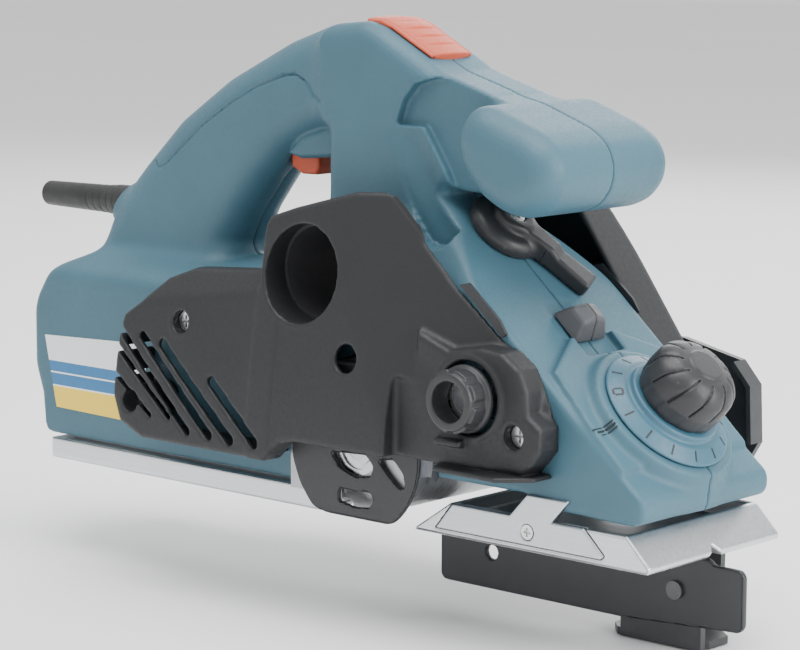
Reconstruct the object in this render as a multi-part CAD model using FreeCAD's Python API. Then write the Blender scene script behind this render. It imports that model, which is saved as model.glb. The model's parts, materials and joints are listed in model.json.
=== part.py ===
import FreeCAD, Part
import os
from math import cos, hypot, radians, sin

V = FreeCAD.Vector

# An electric hand planer. +X is the way it is pushed, +Y its left side, +Z up.
# The origin is on the flat rear sole, on the middle plane where the two housing halves meet.

# ---- driving dimensions (mm) ----
SOLE_HALF_WIDTH = 41.0
SOLE_REAR = -82.0
SOLE_FRONT = 81.0
SOLE_THICKNESS = 9.0

DRUM_X = 106.0
DRUM_Z = 30.0
CUTTING_RADIUS = 29.95
DRUM_BODY_RADIUS = 27.0
DRUM_HALF_LENGTH = 41.0
DRUM_SHAFT_RADIUS = 5.0

MOTOR_X = 20.0
MOTOR_Z = 48.0
MOTOR_SHAFT_RADIUS = 4.0
STATOR_RADIUS = 31.0
STATOR_Y0 = -10.0
STATOR_Y1 = 18.0
ARMATURE_RADIUS = 17.5

WALL = 3.0
COVER_WALL = 2.5
HOUSING_HALF_WIDTH_REAR = 38.0
HOUSING_HALF_WIDTH_FRONT = 40.0
HANDLE_HALF_WIDTH = 18.0
COLUMN_HALF_WIDTH = 21.0
HOUSING_BOTTOM = 10.3
COLUMN_REAR = 57.0

OUTLET_X = 80.0
OUTLET_Z = 96.0
OUTLET_RADIUS = 19.3
LEFT_OUTLET_RADIUS = 18.6

# The depth knob turns about an inclined axis, and the front shoe slides along the same direction.
SLOPE_ANGLE = 42.7
AXIS = V(sin(radians(SLOPE_ANGLE)), 0, cos(radians(SLOPE_ANGLE)))
DOWNHILL = V(cos(radians(SLOPE_ANGLE)), 0, -sin(radians(SLOPE_ANGLE)))
RING_CENTRE = V(219.5, 0, 52.4)
SLOPE_DROP = 7.0
RING_RADIUS = 27.0

SHOE_REAR = 130.0
SHOE_FRONT = 243.0
SHOE_HEIGHT = 13.0
SHOE_FLOOR = 6.0

GUIDE_X = 166.5
GUIDE_Z = 57.2
ROD_RADIUS = 6.0
NUT_Y = -64.0
NUT_BASE_Y = -52.5

FENCE_Y = 5.5
FENCE_THICKNESS = 2.5

DRUM_PULLEY_RADIUS = 17.5
MOTOR_PULLEY_RADIUS = 10.5
BELT_THICKNESS = 3.0
BELT_Y0 = 50.5
BELT_Y1 = 58.5

RUNNING = 0.03
GAP = 0.4


# ---- shape helpers ----
def box(x0, x1, y0, y1, z0, z1):
    return Part.makeBox(x1 - x0, y1 - y0, z1 - z0, V(x0, y0, z0))


def cylinder(base, direction, radius, length):
    return Part.makeCylinder(radius, length, base, direction)


def cross_cylinder(x, z, radius, y0, y1):
    """A cylinder across the machine, along Y."""
    return Part.makeCylinder(radius, y1 - y0, V(x, y0, z), V(0, 1, 0))


def cross_tube(x, z, outer, inner, y0, y1):
    return cross_cylinder(x, z, outer, y0, y1).cut(cross_cylinder(x, z, inner, y0 - 1, y1 + 1))


def face_xz(points, grow=0.0):
    """A flat face in the XZ plane, grown (or shrunk, if negative) by an even margin."""
    loop = [V(x, 0, z) for x, z in points]
    face = Part.Face(Part.makePolygon(loop + [loop[0]]))
    return face.makeOffset2D(grow, 2) if grow else face


def slab(points, y0, y1, grow=0.0):
    """An outline in XZ, given thickness along Y."""
    face = face_xz(points, grow)
    face.translate(V(0, y0, 0))
    return face.extrude(V(0, y1 - y0, 0))


def slab_along_x(points, x0, x1):
    """An outline of (y, z) points, given length along X."""
    loop = [V(x0, y, z) for y, z in points]
    return Part.Face(Part.makePolygon(loop + [loop[0]])).extrude(V(x1 - x0, 0, 0))


def slab_along_z(points, z0, z1):
    """An outline of (x, y) points, given height along Z."""
    loop = [V(x, y, z0) for x, y in points]
    return Part.Face(Part.makePolygon(loop + [loop[0]])).extrude(V(0, 0, z1 - z0))


def beyond_plane(first, second, third, depth=0.0):
    """The space on the outer side of the plane through three points, moved inward by a depth."""
    normal = (V(*second) - V(*first)).cross(V(*third) - V(*first))
    normal.normalize()
    block = Part.makeBox(400, 400, 400, V(-200, -200, 0))
    block.Placement = FreeCAD.Placement(V(*first) - normal * depth, FreeCAD.Rotation(V(0, 0, 1), normal))
    return block


def ring_about(base, direction, outer, inner, length):
    return cylinder(base, direction, outer, length).cut(cylinder(base - direction, direction, inner, length + 2))


def on_slope(downhill, across, height):
    """A point measured from the scale ring's centre: down the slope, to the left, and up off it."""
    return RING_CENTRE + DOWNHILL * downhill + V(0, across, 0) + AXIS * height


def slope_block(d0, d1, y0, y1, h0, h1):
    """A block whose sides lie along the slope: downhill d0 to d1, across y0 to y1, height h0 to h1."""
    corner = [on_slope(d, y0, h) for d, h in ((d0, h0), (d1, h0), (d1, h1), (d0, h1))]
    return Part.Face(Part.makePolygon(corner + corner[:1])).extrude(V(0, y1 - y0, 0))


def joined(first, *others):
    return first.multiFuse(list(others)).removeSplitter() if others else first


def group(pieces):
    """Separate solids that share one node."""
    return Part.makeCompound([solid for piece in pieces for solid in piece.Solids])


def rounded(shape, radius, wanted):
    """The shape with a fillet on each edge that the test picks."""
    edges = [edge for edge in shape.Edges if wanted(edge)]
    return shape.makeFillet(radius, edges) if edges else shape


def runs_along(edge, direction):
    if edge.Curve.TypeId != "Part::GeomLine":
        return False
    return abs(edge.tangentAt(edge.FirstParameter).dot(direction)) > 0.999


def screw(head, direction, head_radius, head_height, shank_radius, length):
    """A pan head screw with a cross recess. Its head starts at the seat and its shank goes along direction."""
    body = joined(cylinder(head - direction * head_height, direction, head_radius, head_height),
                  cylinder(head, direction, shank_radius, length))
    across = direction.cross(V(1, 0, 0)) if abs(direction.x) < 0.9 else V(0, 1, 0)
    across.normalize()
    top = head - direction * head_height
    for arm in (across, direction.cross(across)):
        other = direction.cross(arm)
        reach = head_radius * 0.6
        half = head_radius * 0.13
        corners = [top + arm * a + other * b for a, b in
                   ((-reach, -half), (reach, -half), (reach, half), (-reach, half))]
        body = body.cut(Part.Face(Part.makePolygon(corners + corners[:1])).extrude(direction * head_height * 0.6))
    return body


# ---- outlines of the housing, as (x, z) ----
SLOPE_TOP = on_slope(-123.0, 0, -10.6)
SLOPE_FOOT = on_slope(19.5, 0, -SLOPE_DROP)
HOUSING_OUTLINE = [
    (-88, HOUSING_BOTTOM), (64, HOUSING_BOTTOM), (66, 21.5), (184, 21.5), (190, 17.5), (226, 16.5), (236, 16.5),
    (239, 19), (239, 26), (SLOPE_FOOT.x, SLOPE_FOOT.z), (SLOPE_TOP.x, SLOPE_TOP.z), (126, 130.5),
    (136, 129.5), (146, 122.3), (177, 122.5),
    (187, 126.5), (193, 134), (194, 143), (190, 151), (182, 156), (157, 165), (152, 165.5), (120, 174.5),
    (112, 179), (90, 190.5), (82, 193), (54, 190.5), (33, 183.5), (-2, 167), (-30, 149), (-52, 129), (-66, 115),
    (-74, 104), (-80, 91), (-86, 85), (-96, 70), (-98, 64), (-98, 39)]
HANDLE_HOLE = [(57, 93), (57, 121), (63, 121), (63, 150), (59, 149.5), (46, 144.5), (34, 138), (21, 126),
               (9, 111), (2, 98), (4, 93)]
NECK_PLAN = [(COLUMN_REAR, 21), (108, 21), (122, 24), (146, 38.5), (152, 40), (200, 40), (200, -40), (152, -40),
             (146, -38.5), (122, -24), (108, -21), (COLUMN_REAR, -21)]


def housing_solid(inset=0.0):
    """The whole clamshell as one solid. With an inset it is the hollow inside it."""
    rear = HOUSING_HALF_WIDTH_REAR - inset
    front = HOUSING_HALF_WIDTH_FRONT - inset
    handle = HANDLE_HALF_WIDTH - inset
    column = COLUMN_HALF_WIDTH - inset
    profile = slab(HOUSING_OUTLINE, -front, front, -inset)
    if inset:
        profile = profile.cut(slab(HANDLE_HOLE, -front, front, inset))
    else:
        profile = profile.cut(slab(HANDLE_HOLE, -front, front))
    rear_zone = box(-110, 68, -rear, rear, 0, 88 - inset)
    handle_zone = box(-110, 66, -handle, handle, 80, 200)
    column_zone = box(COLUMN_REAR + inset, 140, -column, column, 80, 200)
    taper = [(-front, 0), (front, 0), (front, 94 - inset), (column, 121 - inset), (-column, 121 - inset),
             (-front, 94 - inset)]
    front_zone = slab_along_x(taper, COLUMN_REAR + inset, 250)
    plan = [(max(x, COLUMN_REAR + inset), y - inset if y > 0 else y + inset) for x, y in NECK_PLAN]
    neck_zone = slab_along_z(plan, 121.5, 200)
    zones = joined(rear_zone, handle_zone, column_zone, front_zone, neck_zone)
    return profile.common(zones)


def housing_outer():
    """The clamshell's outside, with the round raised pad that carries the scale ring."""
    pad = Part.makeCone(33.0, 30.0, SLOPE_DROP - 1.0 + 6.0, on_slope(0, 0, -SLOPE_DROP - 6.0), AXIS)
    pad = pad.common(box(100, 240, -39.5, 39.5, 20, 120))
    motor_bulge = cross_cylinder(MOTOR_X, MOTOR_Z, 45.0, -HOUSING_HALF_WIDTH_REAR, HOUSING_HALF_WIDTH_REAR)
    return joined(housing_solid(), pad, motor_bulge.common(box(-40, 66, -60, 60, 50, 100)))


HOUSING_SCREWS = [(-86, 50), (-62, 22), (-56, 95), (-8, 152), (66, 178), (106, 168), (174, 140), (150, 32),
                  (228, 24)]
BOSS_RADIUS = 4.5


def motor_and_drum_space():
    """What the housing leaves free for the frame, the drum, the chip duct, the guide tube and the spindle."""
    return [
        box(-74.5, 84, -34.8, 34.8, 5, 16.4),
        cross_cylinder(DRUM_X, DRUM_Z, 35.4, -60, 60),
        cross_cylinder(MOTOR_X, MOTOR_Z, 9.0, 30, 60),
        cross_cylinder(MOTOR_X, MOTOR_Z, 13.0, -60, -30),
        cross_cylinder(OUTLET_X, OUTLET_Z, 20.3, -60, 60),
        cross_cylinder(GUIDE_X, GUIDE_Z, 9.0, -60, 60),
        duct_throat(0.3),
        box(69.5, 124, -60, 60, 9, 31),
    ]


def duct_throat(grow):
    """The oblique passage from the drum's front top to the outlet tube, grown by an even margin."""
    return slope_block(THROAT_UP - grow, THROAT_DOWN + grow, -20 - grow, 20 + grow,
                       THROAT_FLOOR - grow, THROAT_ROOF + grow)


def housing_halves():
    outer = housing_outer()
    inner = housing_solid(WALL)
    shell = outer.cut(inner)
    bosses = [cross_cylinder(x, z, BOSS_RADIUS, -50, 50) for x, z in HOUSING_SCREWS]
    spindle_boss = cylinder(on_slope(0, 0, -30), AXIS, 12.0, 30.0)
    shell = joined(shell, *[boss.common(outer) for boss in bosses], spindle_boss.common(outer))
    cuts = motor_and_drum_space()
    cuts += [cross_cylinder(x, z, 2.0, -60, 60) for x, z in HOUSING_SCREWS]
    cuts += [screw_seat(x, z) for x, z in HOUSING_SCREWS]
    cuts += [
        cylinder(on_slope(0, 0, -80), AXIS, 6.0, 100.0),
        cylinder(on_slope(0, 0, -90), AXIS, 9.6, 66.0),
        cylinder(on_slope(0, 0, -14), AXIS, 9.0, 10.5),
        box(28, 50, -6.5, 6.5, 126, 150),
        cross_cylinder(44, 160, 5.4, 5, 30),
        cylinder(LEVER_HUB - AXIS * 34, AXIS, 4.0, 44.0),
        slope_block(-58, -40, -8.0, 8.0, -20, 0),
        box(-120, -60, -7.2, 7.2, BOOT_Z - 7.1, 119.3),
        thumb_recess(),
        slab(SHOE_POCKET, -37.6, 37.6),
        slope_block(-5.2, 12.3, -42, -38.0, -56.0, -14.0),
    ]
    cuts += [cross_cylinder(x, z, 2.0, -60, -30) for x, z in COVER_SCREWS_RIGHT]
    cuts += [cross_cylinder(x, z, 2.0, 30, 60) for x, z in COVER_SCREWS_LEFT]
    for cut in cuts:
        shell = shell.cut(cut)
    shell = shell.cut(cord_boot_space())
    right = shell.common(box(-150, 260, -60, 0, -20, 220))
    left = shell.common(box(-150, 260, 0, 60, -20, 220))
    return largest(right), largest(left)


def largest(shape):
    """The main solid, without loose crumbs that a cut may leave."""
    return max(shape.Solids, key=lambda solid: solid.Volume)


SHOE_POCKET = [(140, 5), (140, 26), (236, 26), (236, 14), (224, 14), (224, 5)]


def half_width_at(x, z):
    """How far the screw seats are from the middle plane on the left side."""
    if z > 120:
        return HANDLE_HALF_WIDTH if x < 60 else (COLUMN_HALF_WIDTH if x < 130 else HOUSING_HALF_WIDTH_FRONT)
    if z > 90:
        return HANDLE_HALF_WIDTH
    return HOUSING_HALF_WIDTH_REAR if x < 66 else HOUSING_HALF_WIDTH_FRONT


def screw_seat(x, z):
    depth = half_width_at(x, z) - 3.0
    return cross_cylinder(x, z, 3.9, depth, 60)


def housing_screws():
    screws = []
    for x, z in HOUSING_SCREWS:
        seat = half_width_at(x, z) - 3.0
        screws.append(screw(V(x, seat, z), V(0, -1, 0), 3.6, 2.4, 2.0, seat + 10.0))
    return group(screws)


# ---- cord entry ----
BOOT_Z = 109.5
BOOT_TIP = -127.5
BOOT_SEAT = -64.0


def cord_boot_space():
    return cylinder(V(-100, 0, BOOT_Z), V(1, 0, 0), 7.2, 45.0)


def cord_boot():
    """A tapered rubber sleeve with a bore for the cord and a collar held inside the handle."""
    sleeve = Part.makeCone(6.4, 6.9, BOOT_SEAT - BOOT_TIP, V(BOOT_TIP, 0, BOOT_Z), V(1, 0, 0))
    collar = cylinder(V(BOOT_SEAT, 0, BOOT_Z), V(1, 0, 0), 6.9, 7.0)
    bore = cylinder(V(BOOT_TIP - 1, 0, BOOT_Z), V(1, 0, 0), 3.8, 90.0)
    return joined(sleeve, collar).cut(bore)


def cord_clamp():
    """The small bar and its two screws that grip the cord inside the handle."""
    bar = box(-48, -41, -9.5, 9.5, 116.2, 119.5)
    screws = [screw(V(-44.5, y, 119.5), V(0, 0, -1), 2.8, 1.8, 1.5, 9.0) for y in (-7, 7)]
    holes = [cylinder(V(-44.5, y, 110), V(0, 0, 1), 1.5, 12.0) for y in (-7, 7)]
    return group([bar.cut(holes[0]).cut(holes[1])] + screws)


# ---- thumb rest on top of the column ----
THUMB_LINE = [(78, 195.2), (86, 195.0), (93, 192.2), (113.5, 181.2), (112.5, 178.2), (91, 189.2), (82, 191.6),
              (77, 191.9)]


def thumb_recess():
    return slab(THUMB_LINE, -12.8, 12.8, 0.0)


def thumb_rest():
    pad = slab(THUMB_LINE, -12.6, 12.6)
    ribs = []
    for step in range(4):
        x = 92.5 + 4.2 * step
        z = 193.1 - 0.535 * 4.2 * step
        ribs.append(cross_cylinder(x, z, 0.8, -11, 11))
    return joined(pad, *ribs)


# ---- sole and frame ----
SOLE_SCREWS = [(x, y) for x in (-60, 0, 58) for y in (-25, 25)]


def rear_sole():
    profile = [(SOLE_REAR, 1.5), (SOLE_REAR + 1.5, 0), (SOLE_FRONT - 1.0, 0), (SOLE_FRONT, 0.6),
               (SOLE_FRONT, SOLE_THICKNESS), (SOLE_REAR + 1.0, SOLE_THICKNESS), (SOLE_REAR, SOLE_THICKNESS - 1.0)]
    plate = slab(profile, -SOLE_HALF_WIDTH, SOLE_HALF_WIDTH)
    for x, y in SOLE_SCREWS:
        plate = plate.cut(cylinder(V(x, y, -1), V(0, 0, 1), 2.5, 12))
        plate = plate.cut(Part.makeCone(5.1, 2.5, 2.6, V(x, y, 0), V(0, 0, 1)))
    return plate


def sole_screws():
    screws = []
    for x, y in SOLE_SCREWS:
        head = Part.makeCone(4.8, 2.5, 2.3, V(x, y, 0.3), V(0, 0, 1))
        socket = cylinder(V(x, y, 0), V(0, 0, 1), 1.5, 1.6)
        screws.append(joined(head, cylinder(V(x, y, 2.6), V(0, 0, 1), 2.5, 13.4)).cut(socket))
    return group(screws)


WALL_INNER = 42.0
WALL_OUTER = 47.4
WALL_OUTLINE = [(70, 9.3), (88, 9.3), (96, 16), (134, 16), (138, 22), (138, 46), (124, 62), (86, 62), (70, 46)]


def main_frame():
    """The casting that carries the motor and the drum, with the arch over the drum."""
    web = box(-74, 80, -34.0, 34.0, SOLE_THICKNESS, 13.0)
    cheeks = [slab(WALL_OUTLINE, side, side + WALL_OUTER - WALL_INNER) for side in (-WALL_OUTER, WALL_INNER)]
    sill = box(70, 80, -WALL_OUTER, WALL_OUTER, 9.3, 22.0)
    arch = cross_tube(DRUM_X, DRUM_Z, 34.8, 31.8, -WALL_INNER - 0.5, WALL_INNER + 0.5)
    arch = arch.cut(box(60, 150, -60, 60, -10, 9.3)).cut(box(106, 150, -60, 60, -10, 22))
    arch = arch.cut(duct_throat(0.2))
    pillars = [slab([(-4, 13), (44, 13), (36, 50), (30, 62), (10, 62), (4, 50)], y, y + 6.9) for y in (-34.0, 27.1)]
    bosses = [cylinder(V(x, y, 13), V(0, 0, 1), 5.0, 3.0) for x, y in SOLE_SCREWS]
    frame = joined(web, sill, arch, *cheeks, *pillars, *bosses)
    frame = frame.cut(cross_cylinder(DRUM_X, DRUM_Z, 31.8, -WALL_INNER + 0.2, WALL_INNER - 0.2))
    for y0, y1 in ((-WALL_OUTER, -WALL_INNER), (WALL_INNER, WALL_OUTER)):
        frame = frame.cut(cross_cylinder(DRUM_X, DRUM_Z, 11.0, y0 - 1, y1 + 1))
    for y0, y1 in ((-35, -26), (26, 35)):
        frame = frame.cut(cross_cylinder(MOTOR_X, MOTOR_Z, 11.0, y0, y1))
    for x, y in SOLE_SCREWS:
        frame = frame.cut(cylinder(V(x, y, 8), V(0, 0, 1), 2.5, 9.0))
    return largest(frame.cut(cross_cylinder(GUARD_PIVOT[0], GUARD_PIVOT[1], 2.0, -50, -42.5)))


def bearing(x, z, bore, y0, y1):
    """A shielded ball bearing as inner ring, outer ring and the shield between them."""
    inner = cross_tube(x, z, bore + 2.2, bore, y0, y1)
    outer = cross_tube(x, z, 11.0, 8.8, y0, y1)
    shield = cross_tube(x, z, 8.8, bore + 2.2, y0 + 0.8, y1 - 0.8)
    return joined(inner, outer, shield)


def drum_bearings():
    bore = DRUM_SHAFT_RADIUS + RUNNING
    return group([bearing(DRUM_X, DRUM_Z, bore, y, y + 5.4) for y in (-WALL_OUTER, WALL_INNER)])


def motor_bearings():
    bore = MOTOR_SHAFT_RADIUS + RUNNING
    return group([bearing(MOTOR_X, MOTOR_Z, bore, y, y + 6.9) for y in (-34.0, 27.1)])


# ---- cutter drum ----
def drum_core():
    """The drum body, with a stepped slot for each of the two knives."""
    core = cross_cylinder(DRUM_X, DRUM_Z, DRUM_BODY_RADIUS, -DRUM_HALF_LENGTH, DRUM_HALF_LENGTH)
    core = core.cut(cross_cylinder(DRUM_X, DRUM_Z, DRUM_SHAFT_RADIUS, -50, 50))
    for turn in (0, 180):
        core = core.cut(turned(knife_slot(), turn))
    return core


def turned(shape, angle):
    copy = shape.copy()
    copy.rotate(V(DRUM_X, 0, DRUM_Z), V(0, 1, 0), angle)
    return copy


def knife_slot():
    x, z = DRUM_X, DRUM_Z
    return joined(box(x + 8, x + 14.2, -50, 50, z + 12, z + 40), box(x + 14.2, x + 22, -50, 50, z + 16, z + 40))


def blade():
    x, z = DRUM_X, DRUM_Z
    reach = (CUTTING_RADIUS ** 2 - 14.2 ** 2) ** 0.5
    profile = [(x + 13.0, z + 12.4), (x + 14.2, z + 12.4), (x + 14.2, z + reach), (x + 13.0, z + reach - 1.6)]
    return slab(profile, -DRUM_HALF_LENGTH, DRUM_HALF_LENGTH)


def blade_clamp():
    x, z = DRUM_X, DRUM_Z
    profile = [(x + 8, z + 12.4), (x + 13.0, z + 12.4), (x + 13.0, z + 22.5), (x + 8, z + 24.5)]
    return slab(profile, -DRUM_HALF_LENGTH + 1, DRUM_HALF_LENGTH - 1)


def clamp_screw(y):
    """A hexagon head screw that presses the clamp from the open side of the slot."""
    x, z = DRUM_X, DRUM_Z
    points = [V(x + 14.3, y + 3.5 * cos(radians(60 * k)), z + 20.5 + 3.5 * sin(radians(60 * k))) for k in range(6)]
    return Part.Face(Part.makePolygon(points + points[:1])).extrude(V(4.6, 0, 0))


def drum_pair(piece):
    return group([turned(piece, turn) for turn in (0, 180)])


def drum_shaft():
    return cross_cylinder(DRUM_X, DRUM_Z, DRUM_SHAFT_RADIUS, -47.3, 60.2)


def toothed_pulley(x, z, radius, bore, y0, y1):
    """A belt pulley with round grooves about its rim and a flange on its inner side."""
    rim = cross_tube(x, z, radius, bore, y0, y1)
    for step in range(4):
        y = y0 + 1.6 + 1.7 * step
        rim = rim.cut(cross_tube(x, z, radius + 1, radius - 0.8, y, y + 0.8))
    return joined(rim, cross_tube(x, z, radius + 2.0, bore, y0 - 1.0, y0))


def hexagon_nut(x, z, across, bore, y0, y1):
    radius = across / 2 / cos(radians(30))
    points = [V(x + radius * cos(radians(60 * k)), y0, z + radius * sin(radians(60 * k))) for k in range(6)]
    nut = Part.Face(Part.makePolygon(points + points[:1])).extrude(V(0, y1 - y0, 0))
    return nut.cut(cross_cylinder(x, z, bore, y0 - 1, y1 + 1))


# ---- motor ----
def motor_stator():
    """The laminated stator with its two poles."""
    ring = cross_tube(MOTOR_X, MOTOR_Z, STATOR_RADIUS, STATOR_RADIUS - 5, STATOR_Y0, STATOR_Y1)
    poles = box(MOTOR_X - 14, MOTOR_X + 14, STATOR_Y0, STATOR_Y1, MOTOR_Z - 28, MOTOR_Z + 28)
    poles = poles.cut(box(MOTOR_X - 15, MOTOR_X + 15, -40, 40, MOTOR_Z - 13, MOTOR_Z + 13))
    poles = poles.common(cross_cylinder(MOTOR_X, MOTOR_Z, STATOR_RADIUS - 1, -40, 40))
    stator = joined(ring, poles)
    return stator.cut(cross_cylinder(MOTOR_X, MOTOR_Z, ARMATURE_RADIUS + 0.5, -40, 40))


def field_coils():
    """A wound coil round each pole, in the slots at both sides."""
    coils = []
    for side in (-1, 1):
        z0, z1 = sorted((MOTOR_Z + side * 13.5, MOTOR_Z + side * 21.0))
        outer = box(MOTOR_X - 19, MOTOR_X + 19, STATOR_Y0 - 4, STATOR_Y1 + 3.4, z0, z1)
        inner = box(MOTOR_X - 14.2, MOTOR_X + 14.2, STATOR_Y0 - 0.3, STATOR_Y1 + 0.3, z0 - 1, z1 + 1)
        coil = outer.cut(inner).cut(cross_cylinder(MOTOR_X, MOTOR_Z, ARMATURE_RADIUS + 0.8, -40, 40))
        coils.append(coil.common(cross_cylinder(MOTOR_X, MOTOR_Z, STATOR_RADIUS - 5.2, -40, 40)))
    return group(coils)


def brush_side(side):
    return (MOTOR_X + 10.4, MOTOR_X + 30) if side > 0 else (MOTOR_X - 30, MOTOR_X - 10.4)


def brush_holders():
    holders = []
    for side in (-1, 1):
        x0, x1 = brush_side(side)
        tube = box(x0, x1, -25.0, -17.0, MOTOR_Z - 5, MOTOR_Z + 5)
        cavity = box(x0 - 1, x1 + 1, -24.0, -18.0, MOTOR_Z - 4, MOTOR_Z + 4)
        holders.append(tube.cut(cavity))
    return group(holders)


def carbon_brushes():
    blocks = []
    for side in (-1, 1):
        x0, x1 = sorted((MOTOR_X + side * 9.6, MOTOR_X + side * 22.0))
        block = box(x0, x1, -23.9, -18.1, MOTOR_Z - 3.9, MOTOR_Z + 3.9)
        blocks.append(block.cut(cross_cylinder(MOTOR_X, MOTOR_Z, 9.5 + RUNNING, -40, 0)))
    return group(blocks)


def armature_shaft():
    return cross_cylinder(MOTOR_X, MOTOR_Z, MOTOR_SHAFT_RADIUS, -35.0, 59.8)


def armature_core():
    """The wound core: laminations with winding slots, and the winding heads at both ends."""
    core = cross_cylinder(MOTOR_X, MOTOR_Z, ARMATURE_RADIUS, STATOR_Y0, STATOR_Y1)
    for step in range(12):
        slot = box(MOTOR_X - 1, MOTOR_X + 1, -40, 40, MOTOR_Z + 14.5, MOTOR_Z + 20)
        slot.rotate(V(MOTOR_X, 0, MOTOR_Z), V(0, 1, 0), 30 * step)
        core = core.cut(slot)
    head_spans = ((STATOR_Y0 - 3.6, STATOR_Y0 + 0.1), (STATOR_Y1 - 0.1, STATOR_Y1 + 2.4))
    heads = [cross_cylinder(MOTOR_X, MOTOR_Z, 13.5, y0, y1) for y0, y1 in head_spans]
    core = joined(core, *heads)
    return core.cut(cross_cylinder(MOTOR_X, MOTOR_Z, MOTOR_SHAFT_RADIUS, -40, 40))


def commutator():
    body = cross_tube(MOTOR_X, MOTOR_Z, 9.5, MOTOR_SHAFT_RADIUS, -26.5, -13.8)
    for step in range(24):
        groove = box(MOTOR_X - 0.2, MOTOR_X + 0.2, -27, -13, MOTOR_Z + 9.0, MOTOR_Z + 10)
        groove.rotate(V(MOTOR_X, 0, MOTOR_Z), V(0, 1, 0), 15 * step)
        body = body.cut(groove)
    return body


def cooling_fan():
    hub = cross_tube(MOTOR_X, MOTOR_Z, 8.0, MOTOR_SHAFT_RADIUS, 20.6, 26.9)
    disc = cross_tube(MOTOR_X, MOTOR_Z, 25.0, MOTOR_SHAFT_RADIUS, 25.6, 26.9)
    blades = []
    for step in range(9):
        fin = box(MOTOR_X - 0.8, MOTOR_X + 0.8, 21.8, 25.7, MOTOR_Z + 15.0, MOTOR_Z + 24.6)
        fin.rotate(V(MOTOR_X, 0, MOTOR_Z), V(0, 1, 0), 40 * step)
        blades.append(fin)
    return joined(hub, disc, *blades)


def drive_belt():
    """A flat ribbed belt round both pulleys, a hair clear of them."""
    inner_drum = DRUM_PULLEY_RADIUS + GAP
    inner_motor = MOTOR_PULLEY_RADIUS + GAP

    def hull(drum_radius, motor_radius):
        length = hypot(DRUM_X - MOTOR_X, DRUM_Z - MOTOR_Z)
        along = V(DRUM_X - MOTOR_X, 0, DRUM_Z - MOTOR_Z) * (1 / length)
        across = V(-along.z, 0, along.x)
        lean = (drum_radius - motor_radius) / length
        run = (1 - lean * lean) ** 0.5
        corners = []
        for side in (1, -1):
            normal = along * (-lean) + across * (side * run)
            pair = [V(MOTOR_X, BELT_Y0, MOTOR_Z) + normal * motor_radius,
                    V(DRUM_X, BELT_Y0, DRUM_Z) + normal * drum_radius]
            corners += pair if side > 0 else pair[::-1]
        web = Part.Face(Part.makePolygon(corners + corners[:1])).extrude(V(0, BELT_Y1 - BELT_Y0, 0))
        return joined(web, cross_cylinder(DRUM_X, DRUM_Z, drum_radius, BELT_Y0, BELT_Y1),
                      cross_cylinder(MOTOR_X, MOTOR_Z, motor_radius, BELT_Y0, BELT_Y1))

    return hull(inner_drum + BELT_THICKNESS, inner_motor + BELT_THICKNESS).cut(hull(inner_drum, inner_motor))


# ---- chip duct ----
DUCT_END = 41.0
DUCT_WALL = 2.0
# The throat's limits, measured along the slope and off it from the scale ring's centre.
THROAT_UP = -112.0
THROAT_DOWN = -67.0
THROAT_FLOOR = -45.0
THROAT_ROOF = -19.0


def chip_duct():
    """The cross tube between the two outlets, fed by the throat from the drum."""
    throat = duct_throat(0.0)
    tube = cross_cylinder(OUTLET_X, OUTLET_Z, 20.0, -DUCT_END, DUCT_END)
    hollow_tube = cross_cylinder(OUTLET_X, OUTLET_Z, 18.0, -60, 60)
    hollow_throat = slope_block(THROAT_UP + DUCT_WALL, THROAT_DOWN + 5, -20 + DUCT_WALL, 20 - DUCT_WALL,
                                THROAT_FLOOR + DUCT_WALL, THROAT_ROOF - DUCT_WALL)
    duct = joined(throat, tube).cut(hollow_tube).cut(hollow_throat)
    duct = duct.cut(cross_cylinder(DRUM_X, DRUM_Z, 35.4, -60, 60))
    return largest(duct.cut(cylinder(LEVER_HUB - AXIS * 20, AXIS, 4.0, 30.0)))


# ---- selector lever and deflector ----
LEVER_HUB = on_slope(-100.5, 0, -9.7)
LEVER_TURN = 27.0


def about_lever(shape, angle):
    copy = shape.copy()
    copy.rotate(LEVER_HUB, AXIS, angle)
    return copy


def selector_lever():
    """A domed hub with a flat arm that points down the slope and to the left."""
    lift = 0.4
    hub = Part.makeCone(16.0, 9.0, 9.6, LEVER_HUB + AXIS * lift, AXIS)
    arm = [(6, -5), (24, -4), (38, -5.5), (40, -3), (40, 3), (38, 5.5), (24, 4), (6, 5)]
    base = LEVER_HUB + AXIS * (lift + 3.6)
    loop = [base + DOWNHILL * a + V(0, b, 0) for a, b in arm]
    arm_solid = Part.Face(Part.makePolygon(loop + loop[:1])).extrude(AXIS * 5.8)
    spindle = cylinder(LEVER_HUB - AXIS * 31.5, AXIS, 3.9, 32.0)
    lever = joined(hub, about_lever(arm_solid, LEVER_TURN), spindle)
    return lever.cut(cylinder(LEVER_HUB, AXIS, 2.0, 20.0)).cut(cylinder(LEVER_HUB + AXIS * 7.6, AXIS, 4.2, 5.0))


def lever_screw():
    return screw(LEVER_HUB + AXIS * 7.6, AXIS * -1, 4.0, 2.2, 2.0, 7.6)


def deflector_flap():
    """The plate in the throat that sends the chips to one side. It stands on the lever's spindle."""
    flap = [LEVER_HUB + DOWNHILL * a + AXIS * h for a, h in
            ((3.0, -31.0), (22.0, -31.0), (25.0, -28.0), (25.0, -16.0), (22.0, -12.5), (3.0, -12.5))]
    plate = Part.Face(Part.makePolygon([p + V(0, -1, 0) for p in flap + flap[:1]])).extrude(V(0, 2, 0))
    collar = ring_about(LEVER_HUB - AXIS * 31.0, AXIS, 5.6, 3.9, 18.0)
    plate = plate.cut(cylinder(LEVER_HUB - AXIS * 60, AXIS, 3.9, 60))
    return about_lever(joined(plate, collar), LEVER_TURN)


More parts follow.
